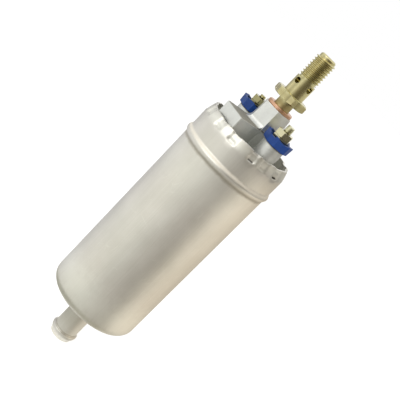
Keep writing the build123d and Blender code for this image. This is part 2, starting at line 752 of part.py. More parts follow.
# Inlet plate: foot on the can's floor, chamber over the nipple, port and relief bore
inlet_ring_z = can_inside_z + inlet_ring_above_floor
relief_centre = on_circle(relief_radius, relief_angle)
with BuildPart() as inlet_plate:
    with BuildSketch(Plane.XZ):
        with BuildLine():
            Polyline(
                (0, can_inside_z + inlet_chamber_depth),
                (inlet_chamber_radius, can_inside_z + inlet_chamber_depth),
                (inlet_chamber_radius, can_inside_z),
                (inlet_foot_radius, can_inside_z),
                (plate_radius, can_inside_z + plate_radius - inlet_foot_radius),
                (plate_radius, inlet_ring_z),
                (groove_radius, inlet_ring_z),
                (groove_radius, inlet_ring_z + o_ring_groove_width),
                (plate_radius, inlet_ring_z + o_ring_groove_width),
                (plate_radius, pump_ring_z),
                (0, pump_ring_z),
                close=True,
            )
        make_face()
    revolve(axis=Axis.Z)
    with BuildSketch(Plane.XY.offset(can_inside_z)):
        inlet_path = CenterArc((0, 0), port_radius, 180 - port_arc / 2, port_arc, mode=Mode.PRIVATE)
        SlotArc(inlet_path, port_width)
    extrude(amount=inlet_plate_height, mode=Mode.SUBTRACT)
    with BuildSketch(Plane.XY.offset(pump_ring_z)):
        with Locations(relief_centre):
            Circle(relief_bore / 2)
    extrude(amount=-relief_bore_in_plate, mode=Mode.SUBTRACT)
    with BuildSketch(Plane.XY.offset(can_inside_z)):
        with Locations(relief_centre):
            Circle(relief_seat_hole / 2)
    extrude(amount=inlet_plate_height, mode=Mode.SUBTRACT)
    with BuildSketch(Plane.XY.offset(pump_ring_z)):
        with PolarLocations(pump_screw_circle_radius, pump_screw_count, start_angle=180 / pump_screw_count):
            Circle(pump_screw_diameter / 2 + fit_gap)
    extrude(amount=-pump_screw_reach, mode=Mode.SUBTRACT)
inlet_plate.part.label = "inlet_plate"
export_step(inlet_plate.part, "parts/inlet_plate.step")

with BuildPart() as inlet_o_ring:
    with BuildSketch(Plane.XZ):
        with Locations((o_ring_radius, inlet_ring_z + o_ring_groove_width / 2)):
            Circle(o_ring_section / 2)
    revolve(axis=Axis.Z)
inlet_o_ring.part.label = "inlet_o_ring"
export_step(inlet_o_ring.part, "parts/inlet_o_ring.step")

# Pump ring: its round bore stands off the shaft's axis by the eccentricity, towards +Y
with BuildPart() as pump_ring:
    with BuildSketch(Plane.XY.offset(pump_ring_z)):
        Circle(plate_radius)
        with Locations((0, eccentricity)):
            Circle(outer_rotor_radius + rotor_gap, mode=Mode.SUBTRACT)
        with Locations(relief_centre):
            Circle(relief_bore / 2, mode=Mode.SUBTRACT)
        with PolarLocations(pump_screw_circle_radius, pump_screw_count, start_angle=180 / pump_screw_count):
            Circle(pump_screw_diameter / 2 + 4 * fit_gap, mode=Mode.SUBTRACT)
    extrude(amount=pump_ring_height)
pump_ring.part.label = "pump_ring"
export_step(pump_ring.part, "parts/pump_ring.step")

# Outer rotor: one round lobe more than the inner rotor has teeth
rotor_z = pump_ring_z + face_gap
rotor_height = pump_ring_height - 2 * face_gap
with BuildPart() as outer_rotor:
    with BuildSketch(Plane.XY.offset(rotor_z)):
        with Locations((0, eccentricity)):
            Circle(outer_rotor_radius)
        with BuildSketch(mode=Mode.PRIVATE) as cavity:
            with Locations((0, eccentricity)):
                Circle(root_radius)
                with PolarLocations(lobe_circle_radius, rotor_teeth + 1, start_angle=90):
                    Circle(lobe_radius, mode=Mode.SUBTRACT)
        add(cavity.sketch, mode=Mode.SUBTRACT)
    extrude(amount=rotor_height)
outer_rotor.part.label = "outer_rotor"
export_step(outer_rotor.part, "parts/outer_rotor.step")

# Inner rotor: each tooth is the path of a lobe's centre, drawn in by the lobe's radius
tooth_steps = 10


def tooth_point(turn):
    lobes = rotor_teeth + 1
    path_x = lobe_circle_radius * cos(turn) + eccentricity * cos(lobes * turn)
    path_y = lobe_circle_radius * sin(turn) + eccentricity * sin(lobes * turn)
    run_x = -lobe_circle_radius * sin(turn) - lobes * eccentricity * sin(lobes * turn)
    run_y = lobe_circle_radius * cos(turn) + lobes * eccentricity * cos(lobes * turn)
    inward = (lobe_radius + rotor_gap) / hypot(run_x, run_y)
    return (path_x - inward * run_y, path_y + inward * run_x)


half_tooth = pi / rotor_teeth
tooth_points = [tooth_point(half_tooth * (2 * step / tooth_steps - 1)) for step in range(tooth_steps + 1)]
shaft_radius = shaft_diameter / 2
flat_width = shaft_diameter - 2 * shaft_flat_depth
root_tangents = ((sin(half_tooth), cos(half_tooth)), (-sin(half_tooth), cos(half_tooth)))
tooth_curve = Spline(tooth_points, tangents=root_tangents)
with BuildPart() as inner_rotor:
    with BuildSketch(Plane.XY.offset(rotor_z)):
        with BuildLine():
            for tooth in range(rotor_teeth):
                add(tooth_curve.rotate(Axis.Z, 90 + 360 / rotor_teeth * tooth))
        make_face()
        with BuildSketch(mode=Mode.PRIVATE) as drive_bore:
            Circle(shaft_radius + fit_gap)
            Rectangle(flat_width + 2 * fit_gap, shaft_diameter * 2, mode=Mode.INTERSECT)
        add(drive_bore.sketch, mode=Mode.SUBTRACT)
    extrude(amount=rotor_height)
inner_rotor.part.label = "inner_rotor"
export_step(inner_rotor.part, "parts/inner_rotor.step")

# Outlet plate: port, relief seat and the boss that holds the lower bushing
bushing_radius = shaft_radius + running_gap + bushing_wall
with BuildPart() as outlet_plate:
    with BuildSketch(Plane.XY.offset(outlet_plate_z)):
        Circle(plate_radius)
    extrude(amount=outlet_plate_height)
    with BuildSketch(Plane.XY.offset(outlet_plate_top_z)):
        Circle(outlet_boss_radius)
    extrude(amount=outlet_boss_height)
    with BuildSketch(Plane.XY.offset(outlet_plate_z)):
        Circle(shaft_radius + 4 * running_gap)
        outlet_path = CenterArc((0, 0), port_radius, -port_arc / 2, port_arc, mode=Mode.PRIVATE)
        SlotArc(outlet_path, port_width)
        with Locations(relief_centre):
            Circle(relief_seat_hole / 2)
        with PolarLocations(pump_screw_circle_radius, pump_screw_count, start_angle=180 / pump_screw_count):
            Circle(pump_screw_diameter / 2 + 4 * fit_gap)
    extrude(amount=outlet_plate_height, mode=Mode.SUBTRACT)
    with BuildSketch(Plane.XY.offset(outlet_plate_z + bushing_inset)):
        Circle(bushing_radius + fit_gap)
    extrude(amount=outlet_boss_z - outlet_plate_z, mode=Mode.SUBTRACT)
outlet_plate.part.label = "outlet_plate"
export_step(outlet_plate.part, "parts/outlet_plate.step")

with BuildPart() as lower_bushing:
    with BuildSketch(Plane.XY.offset(outlet_plate_z + bushing_inset)):
        Circle(bushing_radius)
        Circle(shaft_radius + running_gap, mode=Mode.SUBTRACT)
    extrude(amount=outlet_boss_z - outlet_plate_z - bushing_inset)
lower_bushing.part.label = "lower_bushing"
export_step(lower_bushing.part, "parts/lower_bushing.step")

# Screws that clamp the outlet plate and the ring to the inlet plate
with BuildPart() as pump_screws:
    with BuildSketch(Plane.XY.offset(outlet_plate_top_z)):
        with PolarLocations(pump_screw_circle_radius, pump_screw_count, start_angle=180 / pump_screw_count):
            Circle(pump_screw_head_diameter / 2)
    extrude(amount=pump_screw_head_height)
    with BuildSketch(Plane.XY.offset(pump_ring_z - pump_screw_reach)):
        with PolarLocations(pump_screw_circle_radius, pump_screw_count, start_angle=180 / pump_screw_count):
            Circle(pump_screw_diameter / 2)
    extrude(amount=outlet_plate_top_z - pump_ring_z + pump_screw_reach)
pump_screws.part.label = "pump_screws"
export_step(pump_screws.part, "parts/pump_screws.step")

# Relief valve: the ball closes the outlet plate's hole from below
relief_ball_z = outlet_plate_z - ball_rise(relief_ball_diameter, relief_seat_hole) - face_gap
with BuildPart() as relief_ball:
    with Locations((*relief_centre, relief_ball_z)):
        Sphere(relief_ball_diameter / 2)
relief_ball.part.label = "relief_ball"
export_step(relief_ball.part, "parts/relief_ball.step")

relief_coil = coil(
    relief_spring_coil_diameter,
    relief_spring_wire,
    pump_ring_z - relief_bore_in_plate,
    relief_ball_z - coil_rise(relief_ball_diameter, relief_spring_coil_diameter, relief_spring_wire),
    relief_spring_turns,
    relief_centre,
)
with BuildPart() as relief_spring:
    add(relief_coil)
relief_spring.part.label = "relief_spring"
export_step(relief_spring.part, "parts/relief_spring.step")

# Flux ring with two magnets, pressed apart by two clips
with BuildPart() as flux_ring:
    with BuildSketch(Plane.XY.offset(outlet_plate_top_z)):
        Circle(plate_radius)
        Circle(flux_inner_radius, mode=Mode.SUBTRACT)
    extrude(amount=flux_ring_top_z - outlet_plate_top_z)
flux_ring.part.label = "flux_ring"
export_step(flux_ring.part, "parts/flux_ring.step")

magnet_z = core_z - magnet_overhang
magnet_top_z = core_top_z + magnet_overhang
magnet_section_centre = ((magnet_outer_radius + magnet_inner_radius) / 2, (magnet_z + magnet_top_z) / 2)
for side, turn in (("a", 0), ("b", 180)):
    section_plane = Plane.XZ.rotated((0, 0, turn - magnet_arc / 2))
    with BuildPart() as magnet:
        with BuildSketch(section_plane):
            with Locations(magnet_section_centre):
                Rectangle(magnet_thickness, magnet_top_z - magnet_z)
        revolve(axis=Axis.Z, revolution_arc=magnet_arc)
    magnet.part.label = f"magnet_{side}"
    export_step(magnet.part, f"parts/magnet_{side}.step")

clip_radius = magnet_outer_radius - magnet_clip_thickness / 2
clip_arc = 180 - magnet_arc - magnet_clip_margin
with BuildPart() as magnet_clips:
    with BuildSketch(Plane.XY.offset(core_z)):
        for turn in (90, 270):
            clip_path = CenterArc((0, 0), clip_radius, turn - clip_arc / 2, clip_arc, mode=Mode.PRIVATE)
            SlotArc(clip_path, magnet_clip_thickness)
            for end_angle in (turn - clip_arc / 2, turn + clip_arc / 2):
                with PolarLocations(magnet_outer_radius - magnet_clip_leg / 2, 1, start_angle=end_angle):
                    Rectangle(magnet_clip_leg, magnet_clip_thickness)
    extrude(amount=core_top_z - core_z)
magnet_clips.part.label = "magnet_clips"
export_step(magnet_clips.part, "parts/magnet_clips.step")

# Armature core: laminations with slots that widen outwards behind narrow mouths
slot_outer_radius = core_radius - core_tooth_tip
slot_inner_radius = slot_outer_radius - core_slot_depth
slot_pitch = 2 * pi / core_slots
with BuildSketch() as slot_section:
    Polygon(
        (slot_inner_radius, -(slot_inner_radius * slot_pitch - core_tooth_width) / 2),
        (slot_outer_radius, -(slot_outer_radius * slot_pitch - core_tooth_width) / 2),
        (slot_outer_radius, (slot_outer_radius * slot_pitch - core_tooth_width) / 2),
        (slot_inner_radius, (slot_inner_radius * slot_pitch - core_tooth_width) / 2),
        align=None,
    )
with BuildPart() as armature_core:
    with BuildSketch(Plane.XY.offset(core_z)):
        Circle(core_radius)
        Circle(shaft_radius + fit_gap, mode=Mode.SUBTRACT)
        with PolarLocations(0, core_slots):
            add(slot_section.sketch, mode=Mode.SUBTRACT)
        with PolarLocations(core_radius, core_slots):
            Rectangle(3 * core_tooth_tip, core_slot_mouth, mode=Mode.SUBTRACT)
    extrude(amount=core_top_z - core_z)
armature_core.part.label = "armature_core"
export_step(armature_core.part, "parts/armature_core.step")

# Windings: a bundle in each slot, joined by the end turns above and below the core
winding_inner_radius = slot_inner_radius + winding_inset
winding_outer_radius = slot_outer_radius - winding_inset
winding_middle_radius = (winding_inner_radius + winding_outer_radius) / 2
end_turn_rise = winding_overhang / 2 + winding_inset
with BuildPart() as windings:
    with BuildSketch(Plane.XY.offset(core_z - winding_inset)):
        with PolarLocations(0, core_slots):
            offset(slot_section.sketch, amount=-winding_inset)
    extrude(amount=core_top_z - core_z + 2 * winding_inset)
    with BuildSketch(Plane.XZ):
        for end_z in (core_z - end_turn_rise, core_top_z + end_turn_rise):
            with Locations((winding_middle_radius, end_z)):
                Rectangle(winding_outer_radius - winding_inner_radius, winding_overhang)
        chamfer(vertices(), winding_overhang / 4)
    revolve(axis=Axis.Z)
windings.part.label = "windings"
export_step(windings.part, "parts/windings.step")

# Commutator: moulded hub and flat copper segments on its upper face
segment_z = commutator_face_z - commutator_segment_height
with BuildPart() as commutator_hub:
    with BuildSketch(Plane.XY.offset(segment_z - commutator_hub_height)):
        Circle(commutator_radius)
        Circle(shaft_radius + fit_gap, mode=Mode.SUBTRACT)
    extrude(amount=commutator_hub_height)
commutator_hub.part.label = "commutator_hub"
export_step(commutator_hub.part, "parts/commutator_hub.step")

with BuildPart() as commutator_segments:
    with BuildSketch(Plane.XY.offset(segment_z)):
        Circle(commutator_radius)
        Circle(shaft_radius + commutator_bore_margin, mode=Mode.SUBTRACT)
        with PolarLocations(commutator_radius / 2, core_slots, start_angle=180 / core_slots):
            Rectangle(2 * commutator_radius, commutator_slot_width, mode=Mode.SUBTRACT)
    extrude(amount=commutator_segment_height)
commutator_segments.part.label = "commutator_segments"
export_step(commutator_segments.part, "parts/commutator_segments.step")

# Shaft: two flats in the inner rotor, journal, collar under the core, and the upper journal
upper_bushing_z = brush_plate_z + bushing_inset
upper_washer_z = upper_bushing_z - face_gap - thrust_washer_height
lower_washer_z = outlet_boss_z + face_gap
collar_z = lower_washer_z + thrust_washer_height
with BuildPart() as motor_shaft:
    with BuildSketch(Plane.XY.offset(pump_ring_z + shaft_end_room)):
        Circle(shaft_radius)
        Rectangle(flat_width, 2 * shaft_diameter, mode=Mode.INTERSECT)
    extrude(amount=outlet_plate_z - pump_ring_z - shaft_end_room)
    with BuildSketch(Plane.XY.offset(outlet_plate_z)):
        Circle(shaft_radius)
    extrude(amount=upper_washer_z - outlet_plate_z)
    with BuildSketch(Plane.XY.offset(collar_z)):
        Circle(shaft_collar_diameter / 2)
    extrude(amount=core_z - collar_z)
    with BuildSketch(Plane.XY.offset(upper_washer_z)):
        Circle(journal_diameter / 2)
    extrude(amount=upper_bushing_z + upper_bushing_length + shaft_tip - upper_washer_z)
    chamfer(motor_shaft.edges().sort_by(Axis.Z)[-1], shaft_tip / 4)
motor_shaft.part.label = "motor_shaft"
export_step(motor_shaft.part, "parts/motor_shaft.step")

for end, washer_z, hole_radius in (
    ("lower", lower_washer_z, shaft_radius + fit_gap),
    ("upper", upper_washer_z, journal_diameter / 2 + fit_gap),
):
    with BuildPart() as thrust_washer:
        with BuildSketch(Plane.XY.offset(washer_z)):
            Circle(hole_radius + thrust_washer_width)
            Circle(hole_radius, mode=Mode.SUBTRACT)
        extrude(amount=thrust_washer_height)
    thrust_washer.part.label = f"thrust_washer_{end}"
    export_step(thrust_washer.part, f"parts/thrust_washer_{end}.step")

# Brush holder: moulded end bell that spaces the flux ring from the cap
upper_bushing_radius = journal_diameter / 2 + running_gap + bushing_wall
guide_depth = brush_depth + 2 * (slide_gap + guide_wall)
guide_width = brush_width + 2 * (slide_gap + guide_wall)
with BuildPart() as brush_holder:
    with BuildSketch(Plane.XY.offset(flux_ring_top_z)):
        Circle(plate_radius)
        Circle(plate_radius - holder_rim_wall, mode=Mode.SUBTRACT)
    extrude(amount=holder_rim_height)
    with BuildSketch(Plane.XY.offset(brush_plate_z)):
        Circle(plate_radius)
        for window_angle in (terminal_angle + 90, terminal_angle - 90):
            window_path = CenterArc(
                (0, 0),
                holder_window_radius,
                window_angle - holder_window_arc / 2,
                holder_window_arc,
                mode=Mode.PRIVATE,
            )
            SlotArc(window_path, holder_window_width, mode=Mode.SUBTRACT)
    extrude(amount=brush_plate_height)
    with BuildSketch(Plane.XY.offset(brush_plate_top_z)):
        Circle(holder_boss_radius)
    extrude(amount=holder_boss_height)
    with BuildSketch(Plane.XY.offset(brush_plate_z)):
        with PolarLocations(brush_radius, 2, start_angle=terminal_angle):
            Rectangle(guide_depth + 2 * fit_gap, guide_width + 2 * fit_gap)
    extrude(amount=brush_plate_height, mode=Mode.SUBTRACT)
    with BuildSketch(Plane.XY.offset(brush_plate_z)):
        Circle(journal_diameter / 2 + thrust_washer_width + 4 * fit_gap)
    extrude(amount=bushing_inset, mode=Mode.SUBTRACT)
    with BuildSketch(Plane.XY.offset(upper_bushing_z)):
        Circle(upper_bushing_radius + fit_gap)
    extrude(amount=holder_boss_height + brush_plate_height, mode=Mode.SUBTRACT)
brush_holder.part.label = "brush_holder"
export_step(brush_holder.part, "parts/brush_holder.step")

with BuildPart() as upper_bushing:
    with BuildSketch(Plane.XY.offset(upper_bushing_z)):
        Circle(upper_bushing_radius)
        Circle(journal_diameter / 2 + running_gap, mode=Mode.SUBTRACT)
    extrude(amount=upper_bushing_length)
upper_bushing.part.label = "upper_bushing"
export_step(upper_bushing.part, "parts/upper_bushing.step")

with BuildPart() as brush_guides:
    with BuildSketch(Plane.XY.offset(brush_plate_z - guide_below_plate)):
        with PolarLocations(brush_radius, 2, start_angle=terminal_angle):
            Rectangle(guide_depth, guide_width)
            Rectangle(brush_depth + 2 * slide_gap, brush_width + 2 * slide_gap, mode=Mode.SUBTRACT)
    extrude(amount=guide_length)
brush_guides.part.label = "brush_guides"
export_step(brush_guides.part, "parts/brush_guides.step")
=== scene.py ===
import json
from math import cos, hypot, pi, radians, sin

import bmesh
import bpy
from mathutils import Matrix, Vector


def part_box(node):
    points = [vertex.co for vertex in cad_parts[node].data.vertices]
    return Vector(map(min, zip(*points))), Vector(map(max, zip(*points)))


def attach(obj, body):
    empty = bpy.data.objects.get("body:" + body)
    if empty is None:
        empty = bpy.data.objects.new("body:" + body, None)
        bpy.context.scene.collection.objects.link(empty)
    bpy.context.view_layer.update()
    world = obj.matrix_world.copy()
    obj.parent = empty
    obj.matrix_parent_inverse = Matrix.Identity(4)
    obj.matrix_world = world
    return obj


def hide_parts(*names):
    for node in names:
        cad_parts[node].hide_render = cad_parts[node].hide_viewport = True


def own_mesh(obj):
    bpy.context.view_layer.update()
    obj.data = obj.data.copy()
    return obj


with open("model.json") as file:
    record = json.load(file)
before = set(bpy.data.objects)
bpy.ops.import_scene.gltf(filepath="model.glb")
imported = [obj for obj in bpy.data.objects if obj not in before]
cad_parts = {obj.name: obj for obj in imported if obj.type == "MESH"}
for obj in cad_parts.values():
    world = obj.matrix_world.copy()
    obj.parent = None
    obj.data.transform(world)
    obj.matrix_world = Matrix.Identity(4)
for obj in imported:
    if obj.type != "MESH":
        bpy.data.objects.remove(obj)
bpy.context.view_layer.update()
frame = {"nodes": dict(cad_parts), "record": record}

nodes = frame["nodes"]
record = frame["record"]
mm = 0.001
scene = bpy.context.scene
scene.view_settings.view_transform = "Standard"


def addObject(name, data):
    piece = bpy.data.objects.new(name, data)
    scene.collection.objects.link(piece)
    return piece


def socketNamed(sockets, name):
    return next(socket for socket in sockets if socket.name == name and socket.enabled)


def plugIn(tree, value, socket):
    # The value is another node's socket, or a plain number, vector or colour
    if isinstance(value, bpy.types.NodeSocket):
        tree.links.new(value, socket)
    else:
        socket.default_value = value


def addNode(tree, kind, inputs=None, **settings):
    node = tree.nodes.new(kind)
    for name, value in settings.items():
        setattr(node, name, value)
    for name, value in (inputs or {}).items():
        plugIn(tree, value, node.inputs[name] if isinstance(name, int) else socketNamed(node.inputs, name))
    return node


def addMath(tree, operation, *values, clamp=False):
    inputs = dict(enumerate(values))
    return addNode(tree, "ShaderNodeMath", inputs, operation=operation, use_clamp=clamp).outputs[0]


def scaleValue(tree, value, factor):
    return addMath(tree, "MULTIPLY", value, factor)


def mapRange(tree, value, source, target=(0.0, 1.0), **settings):
    # What goes from one level to the other of the source comes out between the two of the target
    names = ("Value", "From Min", "From Max", "To Min", "To Max")
    inputs = dict(zip(names, (value, *source, *target)))
    return addNode(tree, "ShaderNodeMapRange", inputs, **settings).outputs[0]


def blendValue(tree, share, lower, upper):
    return mapRange(tree, share, (0.0, 1.0), (lower, upper))


def blendColour(tree, share, lower, upper):
    mix = addNode(tree, "ShaderNodeMix", {"Factor": share}, data_type="RGBA", blend_type="MIX")
    for name, value in (("A", lower), ("B", upper)):
        colour = (*value, 1.0) if isinstance(value, tuple) else value
        plugIn(tree, colour, socketNamed(mix.inputs, name))
    return socketNamed(mix.outputs, "Result")


def addNoise(tree, place, scale, detail, rough=0.5):
    inputs = {"Vector": place, "Scale": scale, "Detail": detail, "Roughness": rough}
    return addNode(tree, "ShaderNodeTexNoise", inputs).outputs[0]


def stretchPlace(tree, place, factors):
    return addNode(tree, "ShaderNodeVectorMath", {0: place, 1: factors}, operation="MULTIPLY").outputs[0]


def newTree(name, treeKind, inputs, outputs):
    # Inputs are (label, kind of socket, value), outputs (label, kind)
    tree = bpy.data.node_groups.new(name, treeKind)
    for label, kind, value in inputs:
        socket = tree.interface.new_socket(label, in_out="INPUT", socket_type=kind)
        if value is not None:
            socket.default_value = value
    for label, kind in outputs:
        tree.interface.new_socket(label, in_out="OUTPUT", socket_type=kind)
    given = tree.nodes.new("NodeGroupInput").outputs
    result = tree.nodes.new("NodeGroupOutput").inputs
    return tree, given, result


# Shared effects: grain that is fine or cloudy, hairline scratches, and ragged bands round the axis
effects = {
    "grainDetail": 4.0, "grainRough": 0.6, "scratchStretch": (1.0, 1.0, 0.25), "patchDetail": 2.0,
    "patchFull": 0.75, "bandScale": 240.0, "bandDetail": 3.0, "waveDetail": 1.0,
}


def makeGrain():
    tree, given, result = newTree(
        "surfaceGrain",
        "ShaderNodeTree",
        [
            ("Vector", "NodeSocketVector", None), ("Scale", "NodeSocketFloat", 600.0),
            ("Along", "NodeSocketFloat", 1.0), ("Contrast", "NodeSocketFloat", 1.6),
        ],
        [("Tone", "NodeSocketFloat"), ("Height", "NodeSocketFloat")],
    )
    stretch = addNode(tree, "ShaderNodeCombineXYZ", {"X": 1.0, "Y": 1.0, "Z": given["Along"]})
    place = stretchPlace(tree, given["Vector"], stretch.outputs[0])
    noise = addNoise(tree, place, given["Scale"], effects["grainDetail"], effects["grainRough"])
    contrast = scaleValue(tree, addMath(tree, "SUBTRACT", noise, 0.5), given["Contrast"])
    tree.links.new(addMath(tree, "ADD", contrast, 0.5, clamp=True), result["Tone"])
    tree.links.new(noise, result["Height"])
    return tree


def makeScratches():
    tree, given, result = newTree(
        "hairlineScratches",
        "ShaderNodeTree",
        [
            ("Vector", "NodeSocketVector", None), ("Turn", "NodeSocketVector", None),
            ("Scale", "NodeSocketFloat", 40.0), ("Width", "NodeSocketFloat", 0.02),
            ("Spread", "NodeSocketFloat", 0.55),
        ],
        [("Mask", "NodeSocketFloat")],
    )
    inputs = {"Vector": given["Vector"], "Rotation": given["Turn"]}
    turned = addNode(tree, "ShaderNodeVectorRotate", inputs, rotation_type="EULER_XYZ").outputs[0]
    longWay = stretchPlace(tree, turned, effects["scratchStretch"])
    inputs = {"Vector": longWay, "Scale": given["Scale"]}
    lines = addNode(tree, "ShaderNodeTexVoronoi", inputs, feature="DISTANCE_TO_EDGE").outputs[0]
    thin = mapRange(tree, lines, (0.0, given["Width"]), (1.0, 0.0))
    patches = addNoise(tree, turned, given["Scale"], effects["patchDetail"])
    where = mapRange(tree, patches, (given["Spread"], effects["patchFull"]))
    tree.links.new(addMath(tree, "MULTIPLY", thin, where, clamp=True), result["Mask"])
    return tree


def makeBand():
    tree, given, result = newTree(
        "raggedBand",
        "ShaderNodeTree",
        [
            ("Vector", "NodeSocketVector", None), ("Height", "NodeSocketFloat", 0.1),
            ("Reach", "NodeSocketFloat", 0.001), ("Ragged", "NodeSocketFloat", 0.0004),
        ],
        [("Mask", "NodeSocketFloat")],
    )
    upright = addNode(tree, "ShaderNodeSeparateXYZ", {0: given["Vector"]}).outputs["Z"]
    wander = addNoise(tree, given["Vector"], effects["bandScale"], effects["bandDetail"])
    sway = scaleValue(tree, addMath(tree, "SUBTRACT", wander, 0.5), given["Ragged"])
    offset = addMath(tree, "SUBTRACT", addMath(tree, "ADD", upright, sway), given["Height"])
    away = addMath(tree, "ABSOLUTE", offset)
    mask = mapRange(tree, away, (0.0, given["Reach"]), (1.0, 0.0), interpolation_type="SMOOTHSTEP")
    tree.links.new(mask, result["Mask"])
    return tree


grainGroup = makeGrain()
scratchGroup = makeScratches()
bandGroup = makeBand()


def useGroup(tree, group, inputs):
    return addNode(tree, "ShaderNodeGroup", inputs, node_tree=group).outputs


def addGrain(tree, place, scale, along, contrast):
    return useGroup(tree, grainGroup, {"Vector": place, "Scale": scale, "Along": along, "Contrast": contrast})


def newMaterial(name):
    # An empty material, its tree, and the place on the piece that its patterns read
    material = bpy.data.materials.new(name)
    material.use_nodes = True
    tree = material.node_tree
    tree.nodes.clear()
    return material, tree, addNode(tree, "ShaderNodeTexCoord").outputs["Object"]


def showShader(tree, shader):
    addNode(tree, "ShaderNodeOutputMaterial", {"Surface": shader.outputs[0]})


